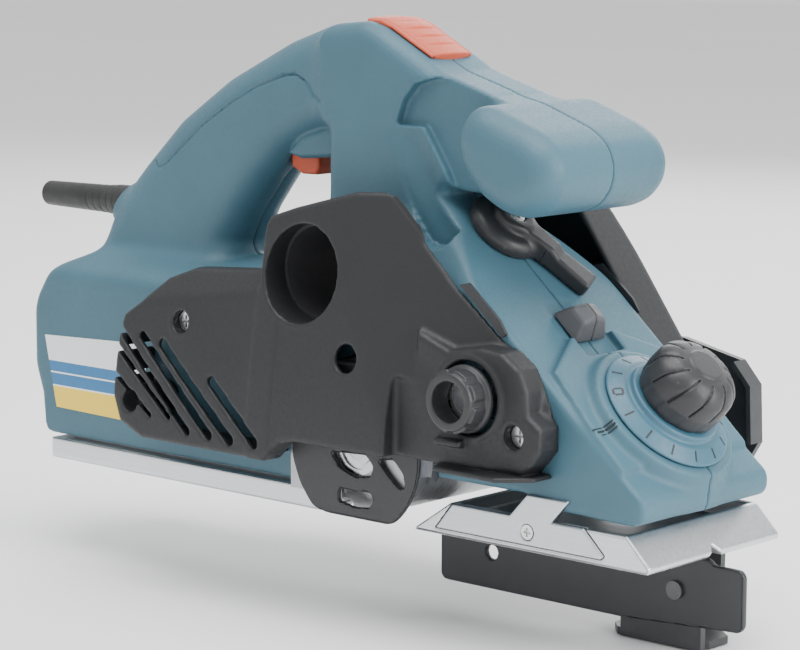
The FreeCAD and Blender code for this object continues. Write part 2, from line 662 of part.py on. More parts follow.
# ---- depth knob ----
def depth_knob():
    """The black knob: a rounded drum with grooves down its side."""
    base = 6.0
    body = joined(cylinder(on_slope(0, 0, base), AXIS, 17.5, 12.0),
                  Part.makeCone(17.5, 13.0, 8.0, on_slope(0, 0, base + 12.0), AXIS))
    for step in range(12):
        groove = cylinder(on_slope(18.2, 0, base + 2.5), AXIS, 1.3, 30.0)
        groove.rotate(RING_CENTRE, AXIS, 30 * step)
        body = body.cut(groove)
    return body.cut(cylinder(on_slope(0, 0, base - 1), AXIS, 4.0, 16.0))


def scale_ring():
    """The dial below the knob, sloping outward and carrying the marks."""
    dial = Part.makeCone(RING_RADIUS, 20.5, 3.4, on_slope(0, 0, 0.0), AXIS)
    rim = cylinder(on_slope(0, 0, -0.6), AXIS, RING_RADIUS, 0.6)
    collar = cylinder(on_slope(0, 0, 3.4), AXIS, 19.0, 2.6)
    ring = joined(dial, rim, collar).cut(cylinder(on_slope(0, 0, -2), AXIS, 4.0, 20.0))
    for step in range(20):
        mark = slope_block(21.5, 25.5, -0.3, 0.3, 0.0, 4.0)
        mark.rotate(RING_CENTRE, AXIS, 18 * step)
        skin = Part.makeCone(RING_RADIUS - 0.3, 20.2, 3.4, on_slope(0, 0, -0.3), AXIS)
        ring = ring.cut(mark.cut(skin))
    return ring


def depth_spindle():
    """The screw between the knob and the shoe, with a collar that holds it in the housing."""
    shaft = cylinder(on_slope(0, 0, -44.0), AXIS, 4.0, 65.0)
    collar = cylinder(on_slope(0, 0, -12.0), AXIS, 7.0, 2.0)
    return joined(shaft, collar)


def spindle_bush():
    """The two plain bush rings that hold the spindle's collar."""
    lower = ring_about(on_slope(0, 0, -13.8), AXIS, 9.0, 4.0 + RUNNING, 1.6)
    upper = ring_about(on_slope(0, 0, -9.8), AXIS, 9.0, 4.0 + RUNNING, 6.0)
    return group([lower, upper])


# ---- front shoe ----
TAB_FOOT = (178.0, 198.0)


def front_shoe():
    """An open tray with sloped ends, a guide post for the spindle and a V groove for chamfering edges."""
    profile = [(SHOE_REAR, 0), (SHOE_FRONT - 1, 0), (SHOE_FRONT, 1), (SHOE_FRONT, 2.6), (SHOE_FRONT - 10.5, SHOE_HEIGHT),
               (SHOE_REAR + 18, SHOE_HEIGHT), (SHOE_REAR + 0.5, 1.2)]
    shoe = slab(profile, -SOLE_HALF_WIDTH, SOLE_HALF_WIDTH)
    hollow = [(SHOE_REAR + 14, SHOE_FLOOR), (SHOE_FRONT - 11, SHOE_FLOOR), (SHOE_FRONT - 14, 20), (SHOE_REAR + 24, 20)]
    shoe = shoe.cut(slab(hollow, -37.5, 37.5))
    plate_seat = slab(SIDE_PLATE_OUTLINE, -45, -SOLE_HALF_WIDTH + 2.5, 0.25)
    shoe = shoe.cut(plate_seat)
    groove = slab_along_x([(-5.2, -1), (5.2, -1), (0, 4.2)], SHOE_REAR - 5, SHOE_FRONT + 5)
    post = cylinder(on_slope(0, 0, -62.0), AXIS, 9.0, 34.0).cut(box(100, 250, -50, 50, -30, SHOE_FLOOR - 1))
    shoe = joined(shoe.cut(groove), post)
    shoe = shoe.cut(cylinder(on_slope(0, 0, -54), AXIS, 4.0 + RUNNING, 40.0))
    return shoe.cut(cross_cylinder(186.5, 7.6, 2.0, -50, -30))


SIDE_PLATE_OUTLINE = [(SHOE_REAR + 11.0, 2.6), (SHOE_FRONT - 22.0, 2.6), (SHOE_FRONT - 20.4, 4.0),
                      (SHOE_FRONT - 30.0, SHOE_HEIGHT), (TAB_FOOT[1], SHOE_HEIGHT), (TAB_FOOT[1] + 8.3, 22.0),
                      (TAB_FOOT[0] + 8.3, 22.0), (TAB_FOOT[0], SHOE_HEIGHT), (SHOE_REAR + 19.5, SHOE_HEIGHT)]


def shoe_side_plate():
    plate = slab(SIDE_PLATE_OUTLINE, -SOLE_HALF_WIDTH - 0.4, -SOLE_HALF_WIDTH + 2.5)
    plate = plate.cut(cross_cylinder(186.5, 7.6, 2.0, -50, -30))
    return plate.cut(cross_cylinder(186.5, 7.6, 2.9, -50, -SOLE_HALF_WIDTH + 0.8))


def side_plate_screw():
    return screw(V(186.5, -SOLE_HALF_WIDTH + 0.8, 7.6), V(0, 1, 0), 2.8, 1.1, 2.0, 5.0)


# ---- depth lock slider ----
SLIDER_FLOOR = -8.45


def depth_lock_slider():
    """A small ribbed slide on the slope, on a stem that passes through the housing."""
    button = [(-57.5, 0.3), (-56.0, 6.0), (-52, 9.4), (-47, 9.4), (-43, 5.0), (-41.5, 0.3)]
    loop = [on_slope(d, -9.5, h + SLIDER_FLOOR) for d, h in button]
    top = Part.Face(Part.makePolygon(loop + loop[:1])).extrude(V(0, 19, 0))
    groove = slope_block(-60, -38, -0.5, 0.5, SLIDER_FLOOR + 8.4, 10)
    stem = slope_block(-55, -47, -5.0, 5.0, SLIDER_FLOOR - 6.0, SLIDER_FLOOR + 0.6)
    return joined(top.cut(groove), stem)


# ---- trigger, lock button and switch ----
TRIGGER_PIVOT = (32.3, 146.0)


def trigger():
    """A curved lever that hangs below the grip and swings up into the switch."""
    outline = [(29, 143), (30, 131.5), (36, 128.8), (44, 129.0), (46, 132), (46, 146.5), (29, 148.5)]
    lever = slab(outline, -6.0, 6.0)
    return lever.cut(cross_cylinder(TRIGGER_PIVOT[0], TRIGGER_PIVOT[1], 1.5 + RUNNING, -10, 10))


def trigger_pin():
    x, z = TRIGGER_PIVOT
    return cross_cylinder(x, z, 1.5, -9.0, 9.0)


def switch_body():
    return rounded(box(24, 52, -10.5, 10.5, 155.5, 171), 1.5, lambda edge: runs_along(edge, V(0, 1, 0)))


def trigger_spring():
    """A compression spring between the switch and the trigger, as a plain sleeve."""
    return ring_about(V(41.0, 0, 149.0), V(0, 0, 1), 2.6, 1.6, 6.0)


def lock_off_button():
    cap = cross_cylinder(44, 160, 5.1, 14.6, 21.0)
    return rounded(cap, 1.2, lambda edge: edge.CenterOfMass.y > 20.5)


def interference_capacitor():
    return rounded(box(-76, -52, -9, 9, 55, 78), 1.5, lambda edge: runs_along(edge, V(0, 0, 1)))


# ---- covers ----
# Both covers are built on the left side, and the right one is mirrored. Sections are (y, z).
COVER_REAR_LINE = [(60, 117), (57.5, 113), (57.5, 96.5), (12, 92), (0, 77), (-19, 57), (-17, 38), (-1, 22)]
RIGHT_COVER_OUTLINE = [(191, 31), (199, 42), (197, 56), (189, 72), (172, 80), (150, 97), (135, 112), (133, 127),
                       (128, 130), (102, 129), (72, 121)] + COVER_REAR_LINE + [(64, 22), (84, 31)]
LEFT_COVER_OUTLINE = [(186, 31), (191, 42), (190, 58), (182, 69), (146, 119), (140, 126), (128, 130), (102, 129),
                      (72, 121)] + COVER_REAR_LINE + [(36, 22), (62, 13), (84, 5.5), (128, 5.5), (143, 20),
                                                           (148, 31)]
RIGHT_COVER_SECTION = [(10, 2), (62, 2), (62, 32), (48.3, 122), (43.5, 134), (10, 134)]
LEFT_COVER_SECTION = [(10, 2), (63, 2), (63, 112), (57, 134), (10, 134)]
FRONT_FACET = [(93.0, 49.7, 118.0), (128.0, 42.0, 115.0), (129.0, 60.5, 45.0)]
REAR_BEVEL = [(0.0, 57.5, 75.0), (0.0, 45.0, 91.0), (60.0, 56.5, 83.0)]
RING_HOUSE_Y = 52.0
RING_HOUSE = [(140, 31), (191, 31), (199, 42), (197, 56), (189, 72), (172, 80), (140, 80)]


def mirrored(shape):
    return shape.mirror(V(0, 0, 0), V(0, 1, 0))


def shrunk_section(section, inset):
    return [(y - inset if y > 20 else y, z - inset if z > 130 else z) for y, z in section]


def left_cover_solid(inset):
    """The belt cover's full shape, with an upright side. With an inset it is the space inside."""
    section = slab_along_x(shrunk_section(LEFT_COVER_SECTION, inset), -60, 240)
    return slab(LEFT_COVER_OUTLINE, 10, 70, -inset).common(section)


def right_cover_solid(inset):
    """The right cover's full shape, built on the left: a leaning side, a front facet and a low ring housing."""
    outline = slab(RIGHT_COVER_OUTLINE, 10, 70, -inset)
    if inset:
        outline = joined(outline, slab([(120, 33.5), (160, 33.5), (160, 60), (120, 60)], 10, 70))
    solid = outline.common(slab_along_x(shrunk_section(RIGHT_COVER_SECTION, inset), -60, 240))
    facet = beyond_plane(*FRONT_FACET, inset).common(box(60, 300, 0, 90, 0, 200))
    bevel = beyond_plane(*REAR_BEVEL, inset).common(box(-60, 57 + inset, 0, 90, 0, 140))
    low_front = box(131 - inset, 260, 53.2 - inset, 90, 0, 62)
    return joined(solid.cut(facet).cut(bevel).cut(low_front), slab(RING_HOUSE, 10, RING_HOUSE_Y - inset, -inset))


VENT_COUNT = 5


def vent_slots():
    """Slanted slots over the motor's end."""
    slots = []
    for step in range(VENT_COUNT):
        x = -14.0 + 9.5 * step
        length = 40.0 if step < 4 else 26.0
        slot = box(0, length, -80, -30, -1.5, 1.5)
        slot.rotate(V(0, 0, 0), V(0, 1, 0), 42)
        slot.translate(V(x, 0, 56.0 + 1.2 * step))
        slots.append(slot)
    return slots


COVER_SCREWS_RIGHT = [(16, 71), (-10, 36), (188, 45)]
COVER_SCREWS_LEFT = [(4, 74), (-8, 38), (180, 45), (112, 122)]


def cover_post(x, z, end):
    return cross_cylinder(x, z, 5.0, 40.3, end)


def cover_shell(full, inside, screw_places, outer_housing, outlet_radius, guide_hole):
    """A hollow cover, built on the left. Its outlet tube, screw posts and guide hole are included."""
    outlet = cross_tube(OUTLET_X, OUTLET_Z, outlet_radius + 2.0, outlet_radius, DUCT_END + 0.2, 70)
    posts = [cover_post(x, z, 70) for x, z in screw_places]
    shell = joined(full.cut(inside), *[piece.common(full) for piece in [outlet] + posts])
    shell = shell.cut(cross_cylinder(OUTLET_X, OUTLET_Z, outlet_radius, DUCT_END + 0.2, 80))
    shell = shell.cut(cross_cylinder(OUTLET_X, OUTLET_Z, 20.4, 0, DUCT_END + 0.2))
    shell = shell.cut(cross_cylinder(GUIDE_X, GUIDE_Z, guide_hole, 0, 80))
    for x, z in screw_places:
        shell = shell.cut(cross_cylinder(x, z, 2.0, 30, 80)).cut(cross_cylinder(x, z, 4.6, cover_seat(x, z), 80))
    clip_seat = slab(CLIP_OUTLINE, HOUSING_HALF_WIDTH_FRONT, HOUSING_HALF_WIDTH_FRONT + 1.6, 0.3)
    lever_room = cylinder(LEVER_HUB - AXIS * 2.0, AXIS, 16.8, 30.0)
    rooms = [outer_housing, clip_seat, lever_room, box(-60, 66, -5, 38.1, 0, 140), box(134, 260, -5, 40.1, 0, 200),
             box(60, 142, 38, 50.65, 0, 36), box(60, 142, 38, 47.9, 0, 62.5)]
    for room in rooms:
        shell = shell.cut(room)
    return shell


def cover_seat(x, z):
    """Where a cover screw's head sits, measured from the middle plane."""
    return 45.0 if x > 150 or z > 100 else 50.0


def right_cover(outer_housing):
    shell = mirrored(cover_shell(right_cover_solid(0.0), right_cover_solid(COVER_WALL), COVER_SCREWS_RIGHT,
                                 outer_housing, OUTLET_RADIUS, 14.0))
    for slot in vent_slots():
        shell = shell.cut(slot)
    shell = shell.cut(cross_cylinder(108, 66, 5.6, -80, -50))
    lip = slab_along_z([(146, -40.3), (155, -59), (186, -60), (197, -50), (197, -40.3)], 28.9, 30.6)
    return largest(joined(shell, lip))


def left_cover(outer_housing):
    return largest(cover_shell(left_cover_solid(0.0), left_cover_solid(COVER_WALL), COVER_SCREWS_LEFT,
                               outer_housing, LEFT_OUTLET_RADIUS, 9.2))


def cover_screws():
    screws = []
    for x, z in COVER_SCREWS_RIGHT:
        screws.append(screw(V(x, -cover_seat(x, z), z), V(0, 1, 0), 4.2, 2.6, 2.0, cover_seat(x, z) - 34.0))
    for x, z in COVER_SCREWS_LEFT:
        screws.append(screw(V(x, cover_seat(x, z), z), V(0, -1, 0), 4.2, 2.6, 2.0, cover_seat(x, z) - 34.0))
    return group(screws)


CLIP_OUTLINE = [(152.5, 97.5), (157, 98.5), (172, 86), (175.5, 81), (173.5, 79.5), (170, 82.5)]


def cover_clip(side):
    """The thin spring clip let into the joint between cover and slope."""
    clip = slab(CLIP_OUTLINE, HOUSING_HALF_WIDTH_FRONT, HOUSING_HALF_WIDTH_FRONT + 1.4)
    return mirrored(clip) if side < 0 else clip


# ---- side guard ----
GUARD_PIVOT = (80.0, 36.0)
GUARD_Y0 = -49.9
GUARD_Y1 = -47.9


def side_guard():
    """A thin half-moon plate beside the drum with windows in it."""
    disc = cross_cylinder(DRUM_X, DRUM_Z, 34.0, GUARD_Y0, GUARD_Y1)
    disc = disc.cut(box(60, 150, -60, -40, -10, 2.2)).cut(box(60, 150, -60, -40, 44, 80))
    disc = joined(disc, cross_cylinder(GUARD_PIVOT[0], GUARD_PIVOT[1], 5.0, GUARD_Y0, GUARD_Y1))
    windows = [cross_cylinder(94, 22, 5.0, -60, -40), cross_cylinder(108, 18, 4.5, -60, -40),
               slab([(86, 7), (104, 5.5), (104, 8.5), (88, 10)], -60, -40)]
    disc = disc.cut(cross_cylinder(DRUM_X, DRUM_Z, 8.0, -60, -40))
    for window in windows:
        disc = disc.cut(window)
    return disc.cut(cross_cylinder(GUARD_PIVOT[0], GUARD_PIVOT[1], 2.0 + RUNNING, -60, -40))


def guard_pivot_screw():
    x, z = GUARD_PIVOT
    return screw(V(x, GUARD_Y0 - 0.3, z), V(0, 1, 0), 3.4, 1.8, 2.0, WALL_OUTER - 41.0 + 1.0)


# ---- fence ----
def guide_tube():
    """The cross tube that guides the fence rod, with the collet fingers' seat at its right end."""
    return cross_tube(GUIDE_X, GUIDE_Z, 8.9, ROD_RADIUS + RUNNING, -54.0, 52.0)


def clamp_nut():
    """The grooved nut that closes the guide tube on the rod."""
    nut = Part.makeCone(13.0, 10.8, NUT_BASE_Y - NUT_Y, V(GUIDE_X, NUT_BASE_Y, GUIDE_Z), V(0, -1, 0))
    for step in range(6):
        pad = box(GUIDE_X - 4.2, GUIDE_X + 4.2, -62.0, -55.5, GUIDE_Z + 10.2, GUIDE_Z + 12.9)
        pad.rotate(V(GUIDE_X, 0, GUIDE_Z), V(0, 1, 0), 60 * step)
        nut = joined(nut, pad)
    bore = cross_cylinder(GUIDE_X, GUIDE_Z, 7.8, -75, -54.5)
    return nut.cut(bore).cut(cross_cylinder(GUIDE_X, GUIDE_Z, 8.9 + RUNNING, -54.5, -45))


def fence_rod():
    return cross_cylinder(GUIDE_X, GUIDE_Z, ROD_RADIUS, -48.0, 69.0)


ARM_Y0 = 66.4
ARM_Y1 = 69.4


def fence_arm():
    """The bent bracket from the rod, down outside the left cover and in under the machine."""
    side = [(155, 68), (178, 68), (206, 62), (214, 53), (215, 30), (199, 4), (198, -37), (193, -40), (186, -40),
            (180, -34), (168, 4), (150, 40), (150, 60)]
    plate = slab(side, ARM_Y0, ARM_Y1)
    rim = slab([(206, 62), (214, 53), (215, 30), (213, 30), (212, 52.5), (205, 60)], ARM_Y0 - 5, ARM_Y0)
    foot = slab_along_z([(186, ARM_Y1), (186, 14), (191, 9), (226, 9), (231, 14), (231, 26), (199, 52),
                         (199, ARM_Y1)], -40, -37)
    tongue = slab([(193, -40), (231, -40), (231, -14), (228, -11), (212, -11), (193, -30)], 8.2, 11.2)
    boss = cross_cylinder(GUIDE_X, GUIDE_Z, 10.0, ARM_Y0 - 2.9, ARM_Y1)
    arm = joined(plate, rim, foot, tongue, boss)
    arm = arm.cut(cross_cylinder(GUIDE_X, GUIDE_Z, ROD_RADIUS, 0, 90))
    return arm.cut(cross_cylinder(221, -17, 3.0, 0, 20))


def fence_plate():
    outline = [(103, -3), (103, -30), (105, -32), (195, -32), (250, -29), (252, -27), (252, -7), (250, -5),
               (238, -5), (236.5, -3)]
    plate = slab(outline, FENCE_Y, FENCE_Y + FENCE_THICKNESS)
    plate = plate.cut(cross_cylinder(130, -17, 3.0, 0, 20))
    return plate.cut(cross_cylinder(221, -17, 3.0, 0, 20))


def fence_bolt():
    """The round headed bolt and its nut that hold the fence plate to the arm."""
    head = cross_cylinder(221, -17, 3.6, FENCE_Y - 1.4, FENCE_Y)
    shank = cross_cylinder(221, -17, 3.0, FENCE_Y - 0.1, 15.0)
    nut = hexagon_nut(221, -17, 10.0, 3.0, 11.2, 15.0)
    return group([joined(head, shank), nut])


# ---- label ----
def rating_label():
    outline = [(-88, 53), (-24, 55.5), (-24, 21), (-81, 22)]
    return slab(outline, -HOUSING_HALF_WIDTH_REAR - 0.4, -HOUSING_HALF_WIDTH_REAR)


def build():
    housing_right, housing_left = housing_halves()
    whole_housing = housing_outer()
    return {
        "rear_sole": rear_sole(),
        "sole_screws": sole_screws(),
        "main_frame": main_frame(),
        "housing_right": housing_right,
        "housing_left": housing_left,
        "housing_screws": housing_screws(),
        "thumb_rest": thumb_rest(),
        "rating_label": rating_label(),
        "cord_boot": cord_boot(),
        "cord_clamp": cord_clamp(),
        "right_cover": right_cover(whole_housing),
        "left_cover": left_cover(whole_housing),
        "cover_screws": cover_screws(),
        "cover_clip_right": cover_clip(-1),
        "cover_clip_left": cover_clip(1),
        "motor_stator": motor_stator(),
        "field_coils": field_coils(),
        "brush_holders": brush_holders(),
        "carbon_brushes": carbon_brushes(),
        "motor_bearings": motor_bearings(),
        "drum_bearings": drum_bearings(),
        "chip_duct": chip_duct(),
        "switch_body": switch_body(),
        "trigger_pin": trigger_pin(),
        "trigger_spring": trigger_spring(),
        "interference_capacitor": interference_capacitor(),
        "guide_tube": guide_tube(),
        "spindle_bush": spindle_bush(),
        "guard_pivot_screw": guard_pivot_screw(),
        "drive_belt": drive_belt(),
        "drum_core": drum_core(),
        "drum_shaft": drum_shaft(),
        "knives": drum_pair(blade()),
        "knife_clamps": drum_pair(blade_clamp()),
        "clamp_screws": drum_pair(group([clamp_screw(y) for y in (-30, 0, 30)])),
        "drum_pulley": toothed_pulley(DRUM_X, DRUM_Z, DRUM_PULLEY_RADIUS, DRUM_SHAFT_RADIUS, 50.0, 59.0),
        "pulley_nut": hexagon_nut(DRUM_X, DRUM_Z, 13.0, DRUM_SHAFT_RADIUS, 59.0, 60.2),
        "armature_shaft": armature_shaft(),
        "armature_core": armature_core(),
        "commutator": commutator(),
        "cooling_fan": cooling_fan(),
        "motor_pulley": toothed_pulley(MOTOR_X, MOTOR_Z, MOTOR_PULLEY_RADIUS, MOTOR_SHAFT_RADIUS, 50.0, 59.0),
        "front_shoe": front_shoe(),
        "shoe_side_plate": shoe_side_plate(),
        "side_plate_screw": side_plate_screw(),
        "trigger": trigger(),
        "lock_off_button": lock_off_button(),
        "selector_lever": selector_lever(),
        "lever_screw": lever_screw(),
        "deflector_flap": deflector_flap(),
        "depth_lock_slider": depth_lock_slider(),
        "side_guard": side_guard(),
        "fence_rod": fence_rod(),
        "fence_arm": fence_arm(),
        "fence_plate": fence_plate(),
        "fence_bolt": fence_bolt(),
        "clamp_nut": clamp_nut(),
        "depth_knob": depth_knob(),
        "scale_ring": scale_ring(),
        "depth_spindle": depth_spindle(),
    }


os.makedirs("parts", exist_ok=True)
for name, shape in build().items():
    shape.exportStep("parts/" + name + ".step")
    print(name, len(shape.Solids), round(shape.Volume), shape.isValid())
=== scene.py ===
import json
import math

import bmesh
import bpy
import numpy as np
from mathutils import Matrix, Vector


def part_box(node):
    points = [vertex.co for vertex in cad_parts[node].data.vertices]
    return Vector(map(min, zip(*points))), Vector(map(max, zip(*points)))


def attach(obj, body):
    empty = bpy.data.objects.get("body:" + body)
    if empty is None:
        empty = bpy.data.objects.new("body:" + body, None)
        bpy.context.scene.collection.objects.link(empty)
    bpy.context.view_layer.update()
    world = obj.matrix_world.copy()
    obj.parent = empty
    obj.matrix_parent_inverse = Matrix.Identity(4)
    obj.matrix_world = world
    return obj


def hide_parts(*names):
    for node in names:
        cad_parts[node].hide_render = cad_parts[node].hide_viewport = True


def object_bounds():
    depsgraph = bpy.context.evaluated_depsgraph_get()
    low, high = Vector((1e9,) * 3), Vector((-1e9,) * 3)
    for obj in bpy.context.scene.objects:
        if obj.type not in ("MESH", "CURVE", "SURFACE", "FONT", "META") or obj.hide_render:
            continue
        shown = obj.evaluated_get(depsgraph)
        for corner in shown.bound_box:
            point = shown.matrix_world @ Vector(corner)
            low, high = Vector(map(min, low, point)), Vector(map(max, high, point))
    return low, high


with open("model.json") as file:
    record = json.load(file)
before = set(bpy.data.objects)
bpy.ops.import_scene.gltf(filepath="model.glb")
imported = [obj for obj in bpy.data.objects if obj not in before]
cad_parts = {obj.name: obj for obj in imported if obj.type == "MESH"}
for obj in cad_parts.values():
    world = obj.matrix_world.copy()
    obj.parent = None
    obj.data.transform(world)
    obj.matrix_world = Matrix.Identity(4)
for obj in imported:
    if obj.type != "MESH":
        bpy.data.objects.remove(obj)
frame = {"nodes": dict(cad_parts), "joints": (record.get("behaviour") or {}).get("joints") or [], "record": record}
CAD_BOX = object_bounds()

# Shapes below are worked out in millimetres, in the frame's axes, and become metres when a mesh is made.
MM = 0.001

# ---- camera ----
CAMERA_PLACE = (0.8332, -0.8305, 0.2378)
CAMERA_AZIMUTH = math.radians(42.0)
CAMERA_ELEVATION = math.radians(8.5)
CAMERA_ROLL = math.radians(0.2)


def make_camera():
    ahead = Vector((-math.sin(CAMERA_AZIMUTH) * math.cos(CAMERA_ELEVATION),
                    math.cos(CAMERA_AZIMUTH) * math.cos(CAMERA_ELEVATION), -math.sin(CAMERA_ELEVATION)))
    level_right = Vector((math.cos(CAMERA_AZIMUTH), math.sin(CAMERA_AZIMUTH), 0.0))
    level_up = level_right.cross(ahead)
    right = level_right * math.cos(CAMERA_ROLL) + level_up * math.sin(CAMERA_ROLL)
    up = right.cross(ahead)
    camera = bpy.data.objects.new("camera", bpy.data.cameras.new("camera"))
    camera.data.lens = 126.0
    camera.data.sensor_width = 36.0
    camera.data.clip_start = 0.05
    camera.data.clip_end = 20.0
    turn = Matrix((right, up, -ahead)).transposed().to_4x4()
    camera.matrix_world = Matrix.Translation(CAMERA_PLACE) @ turn
    bpy.context.scene.collection.objects.link(camera)
    bpy.context.scene.camera = camera


make_camera()

# ---- places read from the frame ----
JOINTS = {joint["name"]: joint for joint in frame["joints"]}
MOUNTS = {mount["name"]: mount for mount in frame["record"]["mounts"]}


def joint_place(name):
    return np.array(JOINTS[name]["pos_m"]) / MM


RING = joint_place("knob_turn")
TILT = np.array(JOINTS["knob_turn"]["axis"], float)
TILT = TILT / np.linalg.norm(TILT)
DOWNHILL = np.array((TILT[2], 0.0, -TILT[0]))
LEFT = np.array((0.0, 1.0, 0.0))
HUB = joint_place("selector_turn")
DRUM = joint_place("drum_spin")
MOTOR = joint_place("armature_spin")
GUIDE = joint_place("clamp_nut_turn")
GUARD_PIVOT = joint_place("guard_swing")
OUTLET = np.array(MOUNTS["chip_outlet_right"]["pos_m"]) / MM
OUTLET_RADIUS = MOUNTS["chip_outlet_right"]["dims"]["r_mm"]
SLOPE_DROP = 7.0
SLIDER_FLOOR = -8.45


def box_in_mm(node):
    return tuple(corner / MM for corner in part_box(node))


# ---- distance fields: negative inside a shape, in millimetres ----
class Grid:
    """The points of a regular grid. x, y and z are kept apart, so that flat outlines stay cheap."""

    def __init__(self, low, high, step):
        margin = 2 * step
        self.step = step
        self.low = np.array(low, float) - margin
        counts = [int((top + margin - bottom) / step) + 2 for bottom, top in zip(self.low, high)]
        self.x = (self.low[0] + step * np.arange(counts[0]))[:, None, None]
        self.y = (self.low[1] + step * np.arange(counts[1]))[None, :, None]
        self.z = (self.low[2] + step * np.arange(counts[2]))[None, None, :]


def outline(points, u, w):
    """Distance to a closed outline in the plane of u and w."""
    nearest = None
    inside = False
    for (u0, w0), (u1, w1) in zip(points, points[1:] + points[:1]):
        along_u, along_w = u1 - u0, w1 - w0
        share = np.clip(((u - u0) * along_u + (w - w0) * along_w) / (along_u ** 2 + along_w ** 2), 0, 1)
        gap = (u - u0 - along_u * share) ** 2 + (w - w0 - along_w * share) ** 2
        nearest = gap if nearest is None else np.minimum(nearest, gap)
        if w0 != w1:
            spans = (w0 > w) != (w1 > w)
            inside = inside ^ (spans & (u < along_u * (w - w0) / along_w + u0))
    return np.where(inside, -1.0, 1.0) * np.sqrt(nearest)


def stroke(points, u, w):
    """Distance to an open line through points."""
    nearest = None
    for (u0, w0), (u1, w1) in zip(points, points[1:]):
        along_u, along_w = u1 - u0, w1 - w0
        share = np.clip(((u - u0) * along_u + (w - w0) * along_w) / (along_u ** 2 + along_w ** 2), 0, 1)
        gap = (u - u0 - along_u * share) ** 2 + (w - w0 - along_w * share) ** 2
        nearest = gap if nearest is None else np.minimum(nearest, gap)
    return np.sqrt(nearest)


def both(a, b, radius=None):
    """Where two shapes overlap, with the edge between them rounded."""
    if radius is None:
        return np.maximum(a, b)
    corner = np.sqrt(np.maximum(a + radius, 0) ** 2 + np.maximum(b + radius, 0) ** 2)
    return np.minimum(np.maximum(a, b), -radius) + corner


def either(a, b, radius=None):
    """Two shapes together, with a fillet between them."""
    return -both(-a, -b, radius)


def without(a, b, radius=None):
    return both(a, -b, radius)


def span(value, low, high):
    return np.abs(value - (low + high) / 2) - (high - low) / 2


def round_bar(u, w, centre_u, centre_w, radius):
    return np.sqrt((u - centre_u) ** 2 + (w - centre_w) ** 2) - radius


def half_space(points, x, y, z):
    """Distance above the plane through three points; the normal follows their order."""
    first, second, third = (np.array(point, float) for point in points)
    normal = np.cross(second - first, third - first)
    normal /= np.linalg.norm(normal)
    return (x - first[0]) * normal[0] + (y - first[1]) * normal[1] + (z - first[2]) * normal[2]


def softened(values, sigma):
    """A smoothed copy of an (x, 1, z) array; sigma is in cells."""
    reach = max(1, int(3 * sigma))
    weights = np.exp(-0.5 * (np.arange(-reach, reach + 1) / sigma) ** 2)
    weights /= weights.sum()
    result = values
    for axis in (0, 2):
        pads = [(reach, reach) if k == axis else (0, 0) for k in range(3)]
        padded = np.pad(result, pads, mode="edge")
        length = result.shape[axis]
        shifted = [np.take(padded, range(k, k + length), axis=axis) for k in range(len(weights))]
        result = sum(weight * values_there for weight, values_there in zip(weights, shifted))
    return result


# ---- meshes ----
# Pieces with more triangles than this are thinned out, mostly where they are flat.
MOST_TRIANGLES = 190000


def surface(grid, field):
    """Vertices (mm) and four-sided faces of the field's zero surface, one vertex in each crossed cell."""
    field = np.broadcast_to(field, (grid.x.size, grid.y.size, grid.z.size)).astype(np.float32).copy()
    for axis in range(3):
        edge = [slice(None)] * 3
        for end in (0, -1):
            edge[axis] = end
            field[tuple(edge)] = grid.step
    inside = field < 0
    shape = np.array(field.shape)
    cells, places, quads = [], [], []
    for axis in range(3):
        second, third = (axis + 1) % 3, (axis + 2) % 3
        near = [slice(None)] * 3
        far = [slice(None)] * 3
        near[axis], far[axis] = slice(None, -1), slice(1, None)
        at = np.argwhere(inside[tuple(near)] != inside[tuple(far)])
        start = field[tuple(near)][tuple(at.T)]
        end = field[tuple(far)][tuple(at.T)]
        place = at.astype(np.float64)
        place[:, axis] += start / (start - end)
        corners = []
        for back_second, back_third in ((1, 1), (0, 1), (0, 0), (1, 0)):
            cell = at.copy()
            cell[:, second] -= back_second
            cell[:, third] -= back_third
            corners.append(np.ravel_multi_index(tuple(cell.T), shape))
        quad = np.stack(corners, 1)
        quad[start > 0] = quad[start > 0][:, ::-1]
        quads.append(quad)
        cells.append(quad.ravel())
        places.append(np.repeat(place, 4, axis=0))
    index = np.unique(np.concatenate(cells), return_inverse=True)[1]
    places = np.concatenate(places)
    count = np.bincount(index)
    vertices = np.stack([np.bincount(index, places[:, k]) / count for k in range(3)], 1)
    return vertices * grid.step + grid.low, index.reshape(-1, 4)


def make_object(name, vertices, faces):
    """A smooth shaded object from vertices in millimetres."""
    mesh = bpy.data.meshes.new(name)
    mesh.vertices.add(len(vertices))
    mesh.vertices.foreach_set("co", (np.asarray(vertices) * MM).astype(np.float32).ravel())
    mesh.loops.add(faces.size)
    mesh.loops.foreach_set("vertex_index", faces.astype(np.int32).ravel())
    mesh.polygons.add(len(faces))
    mesh.polygons.foreach_set("loop_start", np.arange(0, faces.size, 4, dtype=np.int32))
    mesh.update(calc_edges=True)
    mesh.validate()
    mesh.shade_smooth()
    piece = bpy.data.objects.new(name, mesh)
    bpy.context.scene.collection.objects.link(piece)
    if 2 * len(faces) > MOST_TRIANGLES:
        thin = piece.modifiers.new("fewer_faces", "DECIMATE")
        thin.ratio = MOST_TRIANGLES / (2 * len(faces))
        piece.modifiers.new("flat_faces", "WEIGHTED_NORMAL")
    return piece


def solid_piece(name, grid, field, place=None):
    """A piece from a field. place gives (origin, u, v, w) when the grid is in a frame of its own."""
    vertices, faces = surface(grid, field)
    if place is not None:
        origin, u, v, w = place
        vertices = origin + vertices[:, :1] * u + vertices[:, 1:2] * v + vertices[:, 2:3] * w
    return make_object(name, vertices, faces)


def settle(piece, body, material, slot, *nodes):
    """Gives a piece its body, its material and the CAD nodes that it stands for."""
    piece.data.materials.clear()
    piece.data.materials.append(material)
    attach(piece, body)
    if nodes:
        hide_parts(*nodes)
    return piece


